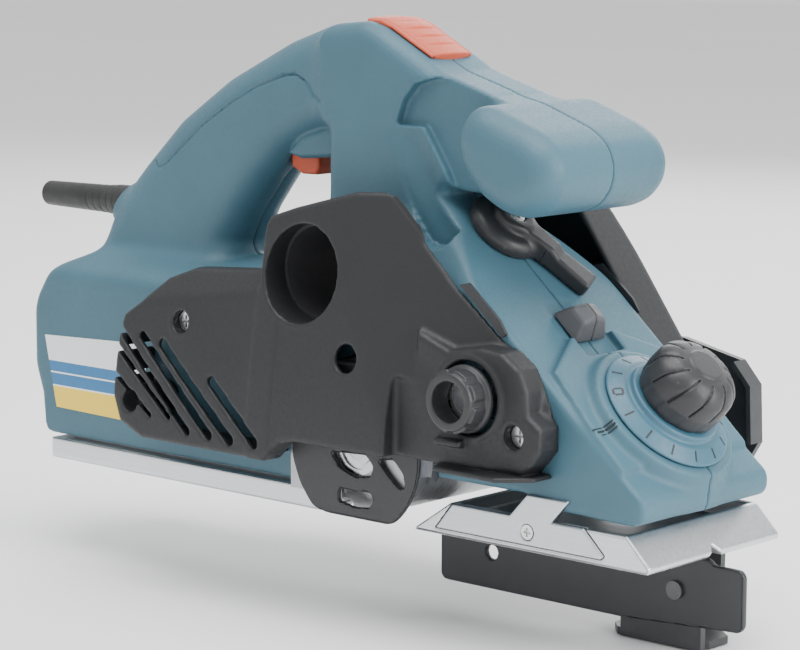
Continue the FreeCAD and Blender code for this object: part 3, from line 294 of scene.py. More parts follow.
# ---- materials ----
class Nodes:
    """A short way to write a material's node tree."""

    def __init__(self, name):
        self.material = bpy.data.materials.new(name)
        self.material.use_nodes = True
        self.tree = self.material.node_tree
        self.shader = self.tree.nodes["Principled BSDF"]
        self.coordinates = self.add("ShaderNodeTexCoord").outputs["Object"]

    def add(self, kind, **settings):
        node = self.tree.nodes.new(kind)
        for key, value in settings.items():
            setattr(node, key, value)
        return node

    def link(self, source, target):
        self.tree.links.new(source, target)

    def stretched(self, scale):
        mapping = self.add("ShaderNodeMapping")
        mapping.inputs["Scale"].default_value = scale
        self.link(self.coordinates, mapping.inputs["Vector"])
        return mapping.outputs["Vector"]

    def noise(self, scale, detail=3.0, vector=None):
        noise = self.add("ShaderNodeTexNoise")
        noise.inputs["Scale"].default_value = scale
        noise.inputs["Detail"].default_value = detail
        self.link(vector or self.coordinates, noise.inputs["Vector"])
        return noise.outputs["Fac"]

    def ramp(self, source, stops):
        ramp = self.add("ShaderNodeValToRGB")
        elements = ramp.color_ramp.elements
        while len(elements) < len(stops):
            elements.new(0.5)
        for element, (position, colour) in zip(elements, stops):
            element.position = position
            element.color = (*colour, 1.0)
        self.link(source, ramp.inputs["Fac"])
        return ramp.outputs["Color"]

    def spread(self, source, low, high):
        """The source's middle range mapped to low and high."""
        node = self.add("ShaderNodeMapRange")
        node.inputs["From Min"].default_value = 0.3
        node.inputs["From Max"].default_value = 0.7
        node.inputs["To Min"].default_value = low
        node.inputs["To Max"].default_value = high
        self.link(source, node.inputs["Value"])
        return node.outputs["Result"]

    def bump(self, height, distance, strength, before=None):
        node = self.add("ShaderNodeBump")
        node.inputs["Distance"].default_value = distance
        node.inputs["Strength"].default_value = strength
        self.link(height, node.inputs["Height"])
        if before is not None:
            self.link(before, node.inputs["Normal"])
        return node.outputs["Normal"]

    def blend(self, share, first, second):
        node = self.add("ShaderNodeMix", data_type="RGBA")
        self.link(share, node.inputs["Factor"])
        self.link(first, node.inputs[6])
        self.link(second, node.inputs[7])
        return node.outputs[2]

    def edges(self, low, high):
        """1 on sharp outer edges, where a highlight is painted, and 0 elsewhere."""
        geometry = self.add("ShaderNodeNewGeometry")
        node = self.add("ShaderNodeMapRange")
        node.inputs["From Min"].default_value = low
        node.inputs["From Max"].default_value = high
        self.link(geometry.outputs["Pointiness"], node.inputs["Value"])
        return node.outputs["Result"]


def shade(colour, factor):
    return tuple(min(1.0, channel * factor) for channel in colour)


def moulded_plastic(name, colour, grain, rough, bump=0.00005, edge_highlight_gain=1.5):
    """Plastic with the fine grain of an eroded mould, slight mottling and a painted highlight on its outer edges.
    """
    nodes = Nodes(name)
    mottling = nodes.ramp(nodes.noise(28.0, 5.0), [(0.3, shade(colour, 0.93)), (0.7, shade(colour, 1.07))])
    # Sharp outer edges, found by pointiness, are painted lighter by the edge gain: a painted highlight.
    plastic_highlight_stops = [(0.3, shade(colour, edge_highlight_gain * 0.93)), (0.7, shade(colour, edge_highlight_gain))]
    plastic_edge_highlight = nodes.ramp(nodes.noise(90.0), plastic_highlight_stops)
    nodes.link(nodes.blend(nodes.edges(0.53, 0.62), mottling, plastic_edge_highlight), nodes.shader.inputs["Base Color"])
    roughness = nodes.spread(nodes.noise(grain * 0.5), rough - 0.07, rough + 0.09)
    nodes.link(roughness, nodes.shader.inputs["Roughness"])
    coarse = nodes.bump(nodes.noise(grain * 0.35, 4.0), bump * 2.0, 0.5)
    nodes.link(nodes.bump(nodes.noise(grain, 2.0), bump, 0.9, coarse), nodes.shader.inputs["Normal"])
    nodes.shader.inputs["Specular IOR Level"].default_value = 0.45
    return nodes.material


def brushed_metal(name, colour, rough, direction, depth=0.00002):
    """Metal with fine parallel scratches. direction is the short way across them for each axis."""
    nodes = Nodes(name)
    lines = nodes.noise(1.0, 6.0, nodes.stretched(direction))
    stain = nodes.noise(22.0, 4.0)
    tone = nodes.ramp(lines, [(0.3, shade(colour, 0.86)), (0.7, shade(colour, 1.08))])
    aged = nodes.ramp(stain, [(0.35, shade(colour, 0.9)), (0.7, shade(colour, 1.02))])
    half = nodes.add("ShaderNodeMath", operation="MULTIPLY")
    half.inputs[1].default_value = 0.5
    nodes.link(stain, half.inputs[0])
    nodes.link(nodes.blend(half.outputs[0], tone, aged), nodes.shader.inputs["Base Color"])
    nodes.link(nodes.spread(lines, rough - 0.08, rough + 0.1), nodes.shader.inputs["Roughness"])
    nodes.link(nodes.bump(lines, depth, 0.6), nodes.shader.inputs["Normal"])
    nodes.shader.inputs["Metallic"].default_value = 1.0
    return nodes.material


def plain_metal(name, colour, rough, grain=700.0, metallic=1.0, depth=0.00003):
    """Cast, zinc plated or coated metal: an even fine grain with cloudy roughness and a painted highlight on its
    outer edges.
    """
    nodes = Nodes(name)
    cloud = nodes.noise(60.0, 5.0)
    tone = nodes.ramp(cloud, [(0.3, shade(colour, 0.85)), (0.7, shade(colour, 1.1))])
    # Sharp outer edges are painted lighter: a painted highlight.
    metal_edge_highlight = nodes.ramp(nodes.noise(160.0), [(0.3, shade(colour, 1.25)), (0.7, shade(colour, 1.6))])
    nodes.link(nodes.blend(nodes.edges(0.54, 0.66), tone, metal_edge_highlight), nodes.shader.inputs["Base Color"])
    nodes.link(nodes.spread(cloud, rough - 0.08, rough + 0.1), nodes.shader.inputs["Roughness"])
    nodes.link(nodes.bump(nodes.noise(grain, 3.0), depth, 0.7), nodes.shader.inputs["Normal"])
    nodes.shader.inputs["Metallic"].default_value = metallic
    return nodes.material


def rubber(name, colour):
    nodes = Nodes(name)
    tone = nodes.ramp(nodes.noise(50.0, 4.0), [(0.3, shade(colour, 0.8)), (0.7, shade(colour, 1.3))])
    nodes.link(tone, nodes.shader.inputs["Base Color"])
    nodes.link(nodes.spread(nodes.noise(300.0), 0.42, 0.6), nodes.shader.inputs["Roughness"])
    nodes.link(nodes.bump(nodes.noise(900.0, 2.0), 0.00004, 0.6), nodes.shader.inputs["Normal"])
    return nodes.material


def label_film(name):
    """A plain label: bands of white, blue and yellow with no lettering."""
    nodes = Nodes(name)
    parts = nodes.add("ShaderNodeSeparateXYZ")
    nodes.link(nodes.coordinates, parts.inputs[0])
    low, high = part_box("rating_label")
    height = nodes.add("ShaderNodeMapRange")
    height.inputs["From Min"].default_value = low.z
    height.inputs["From Max"].default_value = high.z
    nodes.link(parts.outputs["Z"], height.inputs["Value"])
    white, blue, yellow = (0.80, 0.84, 0.86), (0.02, 0.16, 0.36), (0.88, 0.62, 0.05)
    ramp = nodes.add("ShaderNodeValToRGB")
    ramp.color_ramp.interpolation = "CONSTANT"
    stops = [(0.0, yellow), (0.29, white), (0.31, blue), (0.46, white), (0.48, blue), (0.61, white)]
    while len(ramp.color_ramp.elements) < len(stops):
        ramp.color_ramp.elements.new(0.5)
    for element, (position, colour) in zip(ramp.color_ramp.elements, stops):
        element.position = position
        element.color = (*colour, 1.0)
    nodes.link(height.outputs["Result"], ramp.inputs["Fac"])
    nodes.link(ramp.outputs["Color"], nodes.shader.inputs["Base Color"])
    nodes.link(nodes.spread(nodes.noise(120.0), 0.28, 0.42), nodes.shader.inputs["Roughness"])
    nodes.link(nodes.bump(nodes.noise(260.0), 0.00002, 0.4), nodes.shader.inputs["Normal"])
    return nodes.material


TEAL = (0.050, 0.128, 0.172)
CHARCOAL = (0.014, 0.015, 0.017)
MATERIALS = {
    "housing_plastic": moulded_plastic("housing_plastic", TEAL, 1500.0, 0.50, edge_highlight_gain=1.25),
    "ring_plastic": moulded_plastic("ring_plastic", (0.045, 0.130, 0.186), 1800.0, 0.40, 0.00003, 1.3),
    "cover_plastic": moulded_plastic("cover_plastic", CHARCOAL, 1300.0, 0.52, 0.00007, 1.9),
    "control_plastic": moulded_plastic("control_plastic", (0.026, 0.027, 0.030), 1800.0, 0.40, 0.00003, 2.0),
    "slider_plastic": moulded_plastic("slider_plastic", (0.070, 0.074, 0.082), 1600.0, 0.50, 0.00004, 1.5),
    "guard_plastic": moulded_plastic("guard_plastic", (0.028, 0.029, 0.032), 1500.0, 0.45, 0.00004, 1.8),
    "dark_plastic": moulded_plastic("dark_plastic", (0.022, 0.022, 0.025), 1500.0, 0.55),
    "orange_plastic": moulded_plastic("orange_plastic", (0.52, 0.080, 0.032), 1500.0, 0.48, edge_highlight_gain=1.15),
    "label_film": label_film("label_film"),
    "boot_rubber": rubber("boot_rubber", (0.018, 0.019, 0.019)),
    "belt_rubber": rubber("belt_rubber", (0.012, 0.012, 0.012)),
    "sole_metal": brushed_metal("sole_metal", (0.66, 0.68, 0.70), 0.34, (60.0, 2600.0, 900.0)),
    "side_plate_metal": brushed_metal("side_plate_metal", (0.58, 0.62, 0.65), 0.36, (80.0, 1200.0, 2400.0)),
    "drum_metal": brushed_metal("drum_metal", (0.50, 0.51, 0.53), 0.32, (200.0, 2400.0, 200.0)),
    "cast_alloy": plain_metal("cast_alloy", (0.36, 0.37, 0.39), 0.48),
    "motor_steel": brushed_metal("motor_steel", (0.20, 0.20, 0.21), 0.45, (200.0, 4000.0, 200.0)),
    "copper_wire": brushed_metal("copper_wire", (0.55, 0.22, 0.09), 0.35, (200.0, 3000.0, 3000.0)),
    "brass_parts": plain_metal("brass_parts", (0.60, 0.42, 0.16), 0.32),
    "carbon": rubber("carbon", (0.02, 0.02, 0.02)),
    "bearing_steel": brushed_metal("bearing_steel", (0.55, 0.56, 0.58), 0.25, (300.0, 3000.0, 300.0)),
    "shaft_steel": brushed_metal("shaft_steel", (0.50, 0.51, 0.53), 0.28, (100.0, 3000.0, 100.0)),
    "spring_steel": plain_metal("spring_steel", (0.40, 0.40, 0.42), 0.30),
    "screw_steel": plain_metal("screw_steel", (0.56, 0.57, 0.57), 0.27, 900.0, 1.0, 0.00002),
    "knife_steel": brushed_metal("knife_steel", (0.62, 0.63, 0.65), 0.20, (3000.0, 200.0, 200.0)),
    "fence_steel": plain_metal("fence_steel", (0.036, 0.038, 0.041), 0.40, 1100.0, 0.35),
    "fence_bolt_steel": plain_metal("fence_bolt_steel", (0.075, 0.075, 0.08), 0.36, 900.0, 0.7),
    "capacitor_case": moulded_plastic("capacitor_case", (0.52, 0.44, 0.10), 900.0, 0.4),
    "dial_paint": rubber("dial_paint", (0.012, 0.013, 0.015)),
}

# ---- housing ----
HOUSING_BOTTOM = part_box("housing_right")[0].z / MM
REAR_HALF = 38.0
FRONT_HALF = 40.0
HANDLE_HALF = 18.0
COLUMN_HALF = 21.0
COLUMN_REAR = 60.0
SHELF_Z = 87.0
SEAM_GAP = 0.12


def on_slope(down, height):
    """(x, z) of a point measured down the slope and off it from the scale ring's centre."""
    place = RING + DOWNHILL * down + TILT * height
    return (place[0], place[2])


SLOPE_TOP = on_slope(-123.0, -10.6)
HOUSING_OUTLINE = [(-88, HOUSING_BOTTOM), (64, HOUSING_BOTTOM), (66, 21.5), (184, 21.5), (190, 17.5),
                   (226, 16.5), (236, 16.5), (239, 19), (239, 26), on_slope(19.5, -SLOPE_DROP), SLOPE_TOP,
                   (126, 130.5), (136, 129.5), (150, 129), (175, 132), (178, 144), (170, 152), (156, 160.5),
                   (150, 165.6), (120, 174.5), (112, 179), (90, 190.5), (82, 193), (54, 190.5), (33, 183.5),
                   (-2, 167), (-30, 149), (-52, 129), (-66, 115), (-74, 104), (-80, 91), (-86, 85),
                   (-96, 70), (-98, 64), (-98, 39)]
FORE_HANDLE = [(143.5, 150), (148, 138), (156, 129.5), (166, 124.3), (177, 122.5), (187, 126.5), (193, 134),
               (194, 143), (190, 151), (182, 156), (157, 165), (150, 164), (145, 156)]
HANDLE_HOLE = [(57, 93), (63, 121), (63, 150), (59, 149.5), (46, 144.5), (34, 138), (21, 126),
               (9, 111), (2, 98), (4, 93)]
GRIP_LINE = [(-41, 130), (-38, 128), (-33, 129.5), (-24, 136.7), (-10, 147.5), (6, 157.1), (22, 165),
             (37, 170), (44, 171), (50, 168), (55, 163), (61, 160.5)]
NECK_POCKET = [(120, 172.5), (111, 170), (105, 163.5), (101, 153.7), (115.5, 153.7), (127, 137), (131, 128),
               (160, 122), (160, 170)]
NECK_FACET = [(101, 153.7), (115.5, 153.7), (127, 137), (131, 126), (135, 110), (122, 110), (108, 130)]
SCREW_PLACES = [(-86, 50), (-62, 22), (-56, 95), (-8, 152), (66, 178), (106, 168), (174, 140), (150, 32),
                (228, 24)]
PLATEAU = [(-44, -12), (-30, -35), (0, -38.5), (18, -38.5), (18, 38.5), (0, 38.5), (-30, 35), (-44, 12)]
CORD_Z = sum(corner.z for corner in box_in_mm("cord_boot")) / 2
NECK_HALF = 16.5


def half_width(x, z, cells):
    """How far the housing's side stands from the middle plane, the fore-handle left out."""
    low = np.where(x < 62, REAR_HALF, FRONT_HALF) + 0.0 * z
    taper = np.interp(z, [94, 121], [FRONT_HALF, COLUMN_HALF]) + 0.0 * x
    bulge = round_bar(x, z, MOTOR[0], MOTOR[2], 45.0)
    width = np.where((z < SHELF_Z) | (bulge < 0), low, HANDLE_HALF)
    column = np.where(z < 94, low, np.where(z < 122, taper, COLUMN_HALF))
    width = np.where(x > COLUMN_REAR - 4, column, width)
    return softened(width, 3.6 * cells)


def edge_radius(x, z, cells):
    """How round the housing's long edges are: a full grip, a tighter body and a sharp foot."""
    radius = np.where(z < SHELF_Z, 6.0, 14.5) + 0.0 * x
    radius = np.where(x > COLUMN_REAR, 7.0, radius)
    radius = np.where((x > 118) & (z < 112), 2.6, radius)
    radius = softened(radius, 4.0 * cells)
    return np.maximum(np.minimum(radius, 0.8 + np.maximum(z - 14.0, 0) * 0.4), 0.8)


def slope_parts(down, y, height):
    """The round pad under the dial and the low plateau that carries it."""
    pad_edge = np.sqrt(down ** 2 + y ** 2) - (29.5 - 0.55 * height)
    pad = both(both(both(pad_edge * 0.87, height + 1.0, 0.8), -(height + 14.0)), np.abs(y) - 39.6, 1.0)
    plateau = both(both(outline(PLATEAU, down, y), height + SLOPE_DROP - 1.7, 1.0), -(height + 14.0))
    return either(plateau, pad, 1.2)


def housing_field(grid):
    x, y, z = grid.x, grid.y, grid.z
    cells = 1 / grid.step
    profile = without(outline(HOUSING_OUTLINE, x, z), outline(HANDLE_HOLE, x, z))
    profile = softened(profile, 1.6 * cells)
    width = half_width(x, z, cells)
    lean_x, lean_z = np.gradient(width[:, 0, :], grid.step)
    steepness = np.sqrt(1 + lean_x ** 2 + lean_z ** 2)[:, None, :]
    side = (np.abs(y) - width) / steepness
    body = both(profile, side, edge_radius(x, z, cells))
    column = both(both(span(x, COLUMN_REAR, 150), span(z, 100, 240)), np.abs(y) - COLUMN_HALF)
    column = both(both(column, profile, 7.0), COLUMN_REAR - x, 1.2)
    body = either(body, column, 0.8)
    depth = softened(np.maximum(-outline(NECK_FACET, x, z), 0), 2.0 * cells)
    facet = np.where(depth > 0.2, np.abs(y) - (COLUMN_HALF - 0.28 * depth), -50.0)
    body = both(body, facet, 0.8)
    pocket = both(softened(outline(NECK_POCKET, x, z), 0.7 * cells), NECK_HALF - np.abs(y), 0.8)
    body = without(body, pocket, 0.9)
    grip = both(softened(outline(FORE_HANDLE, x, z), 2.6 * cells) + 0.4, np.abs(y) - FRONT_HALF, 12.0)
    body = either(body, grip, 4.5)
    down = (x - RING[0]) * DOWNHILL[0] + (z - RING[2]) * DOWNHILL[2]
    height = (x - RING[0]) * TILT[0] + (z - RING[2]) * TILT[2]
    body = either(body, slope_parts(down, y, height), 1.6)
    fairing = outline([(33.5, 138), (41, 136), (63, 138), (63, 152), (42, 146)], x, z)
    body = either(body, both(fairing, np.abs(y) - 13.0, 3.0), 1.0)
    trough = both(both(span(down, -63, -34), np.abs(y) - 11.5), SLIDER_FLOOR - 0.6 - height)
    body = without(body, trough, 0.6)
    collar = round_bar(y, z, 0, CORD_Z, 10.5)
    body = either(body, both(both(collar, span(x, -84, -60)), profile - 3.0, 2.0), 3.0)
    skin = body + 1.1
    mark = both(stroke(GRIP_LINE, x, z) - 0.6, 11.0 - np.abs(y))
    body = without(body, both(mark, -skin))
    body = without(body, round_bar(x, z, DRUM[0], DRUM[2], 35.4))
    body = without(body, both(span(x, 69.5, 124), z - 31))
    body = without(body, round_bar(x, z, OUTLET[0], OUTLET[2], 20.3))
    body = without(body, round_bar(x, z, GUIDE[0], GUIDE[2], 9.0))
    body = without(body, round_bar(down, y, 0, 0, 6.0))
    body = without(body, both(both(span(x, 28, 50), np.abs(y) - 6.5), span(z, 120, 151)))
    body = without(body, both(round_bar(y, z, 0, CORD_Z, 7.2), x + 56.0))
    cavity = both(both(profile + 4.0, np.abs(y) - np.maximum(width - 4.0, 0)), body + 3.5)
    return without(body, both(cavity, z - 84.0))


def seat_depth(x, z):
    if z > 120:
        half = HANDLE_HALF if x < 60 else (COLUMN_HALF if x < 130 else FRONT_HALF)
    elif z > 90:
        half = HANDLE_HALF
    else:
        half = REAR_HALF if x < 66 else FRONT_HALF
    return half - 3.0


def make_housing():
    low, high = box_in_mm("housing_right")
    grid = Grid((low.x, -FRONT_HALF - 0.37, low.z), (high.x, 0.0, 194.0), 0.9)
    field = both(housing_field(grid), grid.y + SEAM_GAP, 0.5)
    vertices, faces = surface(grid, field)
    settle(make_object("housing_right_half", vertices, faces), "machine", MATERIALS["housing_plastic"],
           "housing_plastic", "housing_right")
    for screw_x, screw_z in SCREW_PLACES:
        depth = seat_depth(screw_x, screw_z)
        field = without(field, both(round_bar(grid.x, grid.z, screw_x, screw_z, 3.9), depth + grid.y), 0.4)
    vertices, faces = surface(grid, field)
    settle(make_object("housing_left_half", vertices * np.array((1.0, -1.0, 1.0)), faces[:, ::-1]),
           "machine", MATERIALS["housing_plastic"], "housing_plastic", "housing_left")


# ---- covers ----
TOWER_REAR = 57.5
COVER_REAR_LINE = [(60, 117), (57.5, 113), (57.5, 97), (50, 94.5), (14, 92), (1, 87), (-9, 77), (-18, 71),
                   (-20, 64), (-21, 38), (-16, 27), (-3, 21.5)]
RIGHT_COVER_OUTLINE = [(191, 31), (199, 42), (197, 56), (189, 72), (172, 80), (150, 97), (135, 112),
                       (133, 127), (128, 130), (102, 129), (72, 121)] + COVER_REAR_LINE + [(67, 21.5),
                       (76, 29.5), (84, 31)]
LEFT_COVER_OUTLINE = [(186, 31), (191, 42), (190, 58), (182, 69), (146, 119), (140, 126), (128, 130),
                      (102, 129), (72, 121)] + COVER_REAR_LINE + [(36, 22), (62, 13), (84, 5.5), (128, 5.5),
                      (143, 20), (148, 31)]
FACET = [(93.0, 49.7, 118.0), (128.0, 42.0, 115.0), (129.0, 60.5, 45.0)]
BEVEL = [(0.0, 57.5, 75.0), (0.0, 45.0, 91.0), (60.0, 56.5, 83.0)]
COVER_WALL = 2.5
BOSS_HOUSE = [(140, 31), (191, 31), (196, 35), (201, 41), (201, 49), (194, 54), (193.5, 62), (190, 70),
              (182, 75.5), (171, 76.5), (156, 74), (140, 80)]
VENTS = [([(-26, 50), (2, 31.5)], 1.0), ([(-26, 62), (13, 32)], 1.2), ([(-19, 64.5), (24, 27.5)], 1.7),
         ([(-5.5, 63), (36.5, 27.5)], 2.0), ([(6.5, 61), (48.5, 27.0)], 2.2),
         ([(36.5, 49), (62.5, 27.5)], 2.2)]
RIGHT_SCREWS = [(16, 71), (-10, 36), (188, 45)]
LEFT_SCREWS = [(4, 74), (-8, 38), (180, 45), (112, 122)]


def cover_rooms(x, out, z, width):
    """The room that both covers leave for the housing, measured outward from the middle plane."""
    inner = np.where(x < 66, REAR_HALF + 0.2, FRONT_HALF + 0.2) + 0 * z
    return without(width, out - inner)


def sloping_side(out, z, wall):
    """The right cover's side: upright low down, and leaning inward above."""
    upright = out - (62.0 - wall)
    lean = math.atan2(62.0 - 48.3, 122.0 - 32.0)
    leaning = (out - (62.0 - wall)) * math.cos(lean) + (z - 32.0) * math.sin(lean)
    top = (out - (48.3 - wall)) * 0.93 + (z - 122.0) * 0.37
    return both(both(upright, leaning, 4.0), top, 3.0)


def right_cover_shape(x, out, z, wall):
    shape = both(outline(RIGHT_COVER_OUTLINE, x, z) + wall, sloping_side(out, z, wall), 2.2)
    facet = np.where(x > 60, half_space(FACET, x, out, z), -50.0)
    facet = np.where(np.isfinite(facet), facet, -50.0)
    shape = both(shape, -facet_sign(FACET) * facet + wall, 1.8)
    bevel = -facet_sign(BEVEL) * half_space(BEVEL, x, out, z)
    rear = both(both(shape, bevel + wall, 1.4), x - 70.0)
    tower = both(shape, TOWER_REAR + wall - x, 2.0)
    shape = either(rear, tower, 1.2)
    low_front = both(both(131.0 - x, z - 62.0, 2.0), 53.2 - out, 2.0)
    shape = without(shape, low_front - wall, 1.2)
    boss = both(outline(BOSS_HOUSE, x, z) + wall, out - (52.0 - wall), 2.5)
    return either(shape, boss, 2.0)


def facet_sign(points):
    """-1 if the plane's normal points outward, so that the outer side is cut."""
    first, second, third = (np.array(point, float) for point in points)
    normal = np.cross(second - first, third - first)
    return -1.0 if normal[1] > 0 else 1.0


def left_cover_shape(x, out, z, wall):
    top = (out - (63.0 - wall)) * 0.965 + (z - 112.0) * 0.263
    side = both(out - (63.0 - wall), top, 6.0)
    return both(outline(LEFT_COVER_OUTLINE, x, z) + wall, side, 4.0)


def cover_shell(grid, shape, screws, seat, slots):
    """A hollow cover on the side out > 0: its walls, outlet tube, screw posts and openings."""
    x, out, z = grid.x, grid.y, grid.z
    outer = shape(x, out, z, 0.0)
    inner = shape(x, out, z, COVER_WALL)
    shell = without(outer, inner)
    outlet = round_bar(x, z, OUTLET[0], OUTLET[2], OUTLET_RADIUS)
    shell = either(shell, both(outlet - 2.0, outer), 0.5)
    for screw_x, screw_z in screws:
        post = both(round_bar(x, z, screw_x, screw_z, 6.4), outer)
        shell = either(shell, post, 0.5)
    shell = without(shell, outlet, 0.8)
    for screw_x, screw_z in screws:
        recess = both(round_bar(x, z, screw_x, screw_z, 4.6), seat(screw_x, screw_z) - out)
        shell = without(shell, recess, 0.5)
    for line, half in slots:
        shell = without(shell, stroke(line, x, z) - half, 0.5)
    shell = cover_rooms(x, out, z, shell)
    front_room = both(both(134.0 - x, out - 40.2), -z)
    low_room = both(both(span(x, 60, 142), out - 50.7), z - 36.0)
    frame_room = both(both(span(x, 60, 142), out - 47.9), z - 62.5)
    for room in (front_room, low_room, frame_room):
        shell = without(shell, room)
    return shell


def cover_seat(x, z):
    return 45.0 if x > 150 or z > 100 else 50.0


def make_right_cover():
    low, high = box_in_mm("right_cover")
    grid = Grid((low.x, 38.0, low.z), (high.x, 62.0, high.z), 0.75)
    shell = cover_shell(grid, right_cover_shape, RIGHT_SCREWS, cover_seat, VENTS)
    x, out, z = grid.x, grid.y, grid.z
    guide = round_bar(x, z, GUIDE[0], GUIDE[2], 1.0)
    shell = either(shell, both(both(guide - 15.5, -(guide - 13.2)), span(out, 48, 53.0), 0.8), 0.8)
    shell = without(shell, guide - 13.1, 0.6)
    shell = without(shell, round_bar(x, z, 108, 66, 5.6), 0.6)
    floor_reach = np.interp(x, [146, 155, 186, 197], [42, 59, 60, 50])
    floor = both(both(span(x, 146, 197), span(z, 28.9, 30.8)), out - floor_reach)
    shell = either(shell, floor)
    finger = both(both(span(x, 153, 166), span(z, 38.5, 41.5), 0.8), out - 57.0, 1.5)
    shell = either(shell, finger, 0.6)
    clip = outline(CLIP_OUTLINE, x, z)
    shell = without(shell, both(clip - 0.5, out - 41.8))
    vertices, faces = surface(grid, shell)
    vertices = vertices * np.array((1.0, -1.0, 1.0))
    settle(make_object("right_cover_shell", vertices, faces[:, ::-1]), "machine",
           MATERIALS["cover_plastic"], "cover_plastic", "right_cover")


CLIP_OUTLINE = [(152.5, 97.5), (157, 98.5), (172, 86), (175.5, 81), (173.5, 79.5), (170, 82.5)]


def make_left_cover():
    low, high = box_in_mm("left_cover")
    grid = Grid((low.x, 38.0, low.z), (high.x, 63.0, high.z), 1.0)
    shell = cover_shell(grid, left_cover_shape, LEFT_SCREWS, cover_seat, [])
    shell = without(shell, round_bar(grid.x, grid.z, GUIDE[0], GUIDE[2], 9.2))
    settle(make_object("left_cover_shell", *surface(grid, shell)), "machine", MATERIALS["cover_plastic"],
           "cover_plastic", "left_cover")


# ---- controls, in frames of their own ----
SLOPE_FRAME = (RING, DOWNHILL, LEFT, TILT)


def make_knob():
    """A domed knob with a curved groove at each of its finger hollows, from the side to the flat top."""
    base, top, grooves = 6.0, 26.0, 11
    grid = Grid((-18.5, -18.5, base), (18.5, 18.5, top + 1), 0.42)
    x, y, z = grid.x, grid.y, grid.z
    radius = np.sqrt(x ** 2 + y ** 2)
    angle = np.arctan2(y, x)
    share = (z - base) / (top - base)
    girth = np.interp(share, [0, 0.1, 0.35, 0.7, 1.0], [16.4, 17.1, 17.5, 17.0, 15.2])
    wave = np.abs(np.cos((angle - 0.35 * share) * grooves / 2))
    body = both(radius - girth + 0.55 * (1 - wave) ** 2, z - top + radius ** 2 / 150.0, 5.6)
    body = both(body, base - z, 0.8)
    sector = 2 * math.pi / grooves
    turned = angle - 0.35 * share - 0.10 * np.maximum(16 - radius, 0) / 6
    off = (np.mod(turned, sector) - sector / 2) * radius
    groove = both(both(np.abs(off) - 0.36, 9.6 - radius), (base + 7.0) - z)
    body = without(body, both(groove, -(body + 0.9)))
    cap = both(radius - 7.0, span(z, top - 3, top + 0.35), 0.4)
    body = either(body, cap, 0.6)
    settle(solid_piece("depth_knob_grip", grid, body, SLOPE_FRAME), "knob", MATERIALS["control_plastic"],
           "control_plastic", "depth_knob")


DIAL_HIGH = 3.4
DIAL_RADIUS = 27.0
DIAL_INNER = 20.5
DIAL_MARKS = 14
NOUGHT_ANGLE = math.radians(-118.0)


def make_ring():
    grid = Grid((-27.4, -27.4, -0.7), (27.4, 27.4, 6.4), 0.42)
    x, y, z = grid.x, grid.y, grid.z
    radius = np.sqrt(x ** 2 + y ** 2)
    lean = math.atan2(DIAL_RADIUS - DIAL_INNER, DIAL_HIGH)
    cone = (radius - DIAL_RADIUS + 0.2) * math.cos(lean) + (z - 0.35) * math.sin(lean)
    dial = both(both(cone, radius - DIAL_RADIUS, 0.4), span(z, -0.6, DIAL_HIGH), 0.3)
    collar = both(radius - (19.4 - 0.12 * z), span(z, 0, 6.0), 0.7)
    ring = either(dial, collar, 1.0)
    ring = without(ring, radius - 4.0)
    settle(solid_piece("scale_ring_dial", grid, ring, SLOPE_FRAME), "knob", MATERIALS["ring_plastic"],
           "ring_plastic", "scale_ring")
    make_dial_marks()


def dial_point(radius, angle, lift):
    """A point over the dial's cone, in the frame's metres."""
    height = (DIAL_RADIUS - radius) / (DIAL_RADIUS - DIAL_INNER) * DIAL_HIGH + 0.25 + lift
    local = RING + DOWNHILL * radius * math.cos(angle) + LEFT * radius * math.sin(angle) + TILT * height
    return Vector(local * MM)


def bars_object(name, bars):
    """One mesh of many small six-sided bars, each given by its eight corners (far end after near end)."""
    mesh = bmesh.new()
    for corners in bars:
        verts = [mesh.verts.new(corner) for corner in corners]
        for face in ((3, 2, 1, 0), (4, 5, 6, 7), (0, 1, 5, 4), (1, 2, 6, 5), (2, 3, 7, 6), (3, 0, 4, 7)):
            mesh.faces.new([verts[k] for k in face])
    bmesh.ops.recalc_face_normals(mesh, faces=mesh.faces)
    data = bpy.data.meshes.new(name)
    mesh.to_mesh(data)
    mesh.free()
    piece = bpy.data.objects.new(name, data)
    bpy.context.scene.collection.objects.link(piece)
    return piece


def dial_bar(angle, inner, outer, half, shift=0.0):
    """A raised stroke on the dial's cone. shift moves it sideways, in millimetres."""
    corners = []
    for lift in (-0.35, 0.12):
        for radius, way in ((inner, -1), (inner, 1), (outer, 1), (outer, -1)):
            corners.append(dial_point(radius, angle + (shift + way * half) / radius, lift))
    return corners


def make_dial_marks():
    """Strokes round the dial, and a nought drawn from short bars at the first of them."""
    bars = []
    for step in range(1, DIAL_MARKS):
        bars.append(dial_bar(2 * math.pi * step / DIAL_MARKS + NOUGHT_ANGLE, 22.0, 25.6, 0.34))
    for side in (-1.5, 1.5):
        bars.append(dial_bar(NOUGHT_ANGLE, 22.4, 25.0, 0.35, side))
    for radius in (21.9, 25.1):
        bars.append(dial_bar(NOUGHT_ANGLE, radius, radius + 0.7, 1.2))
    settle(bars_object("dial_marks", bars), "knob", MATERIALS["dial_paint"], "control_plastic")


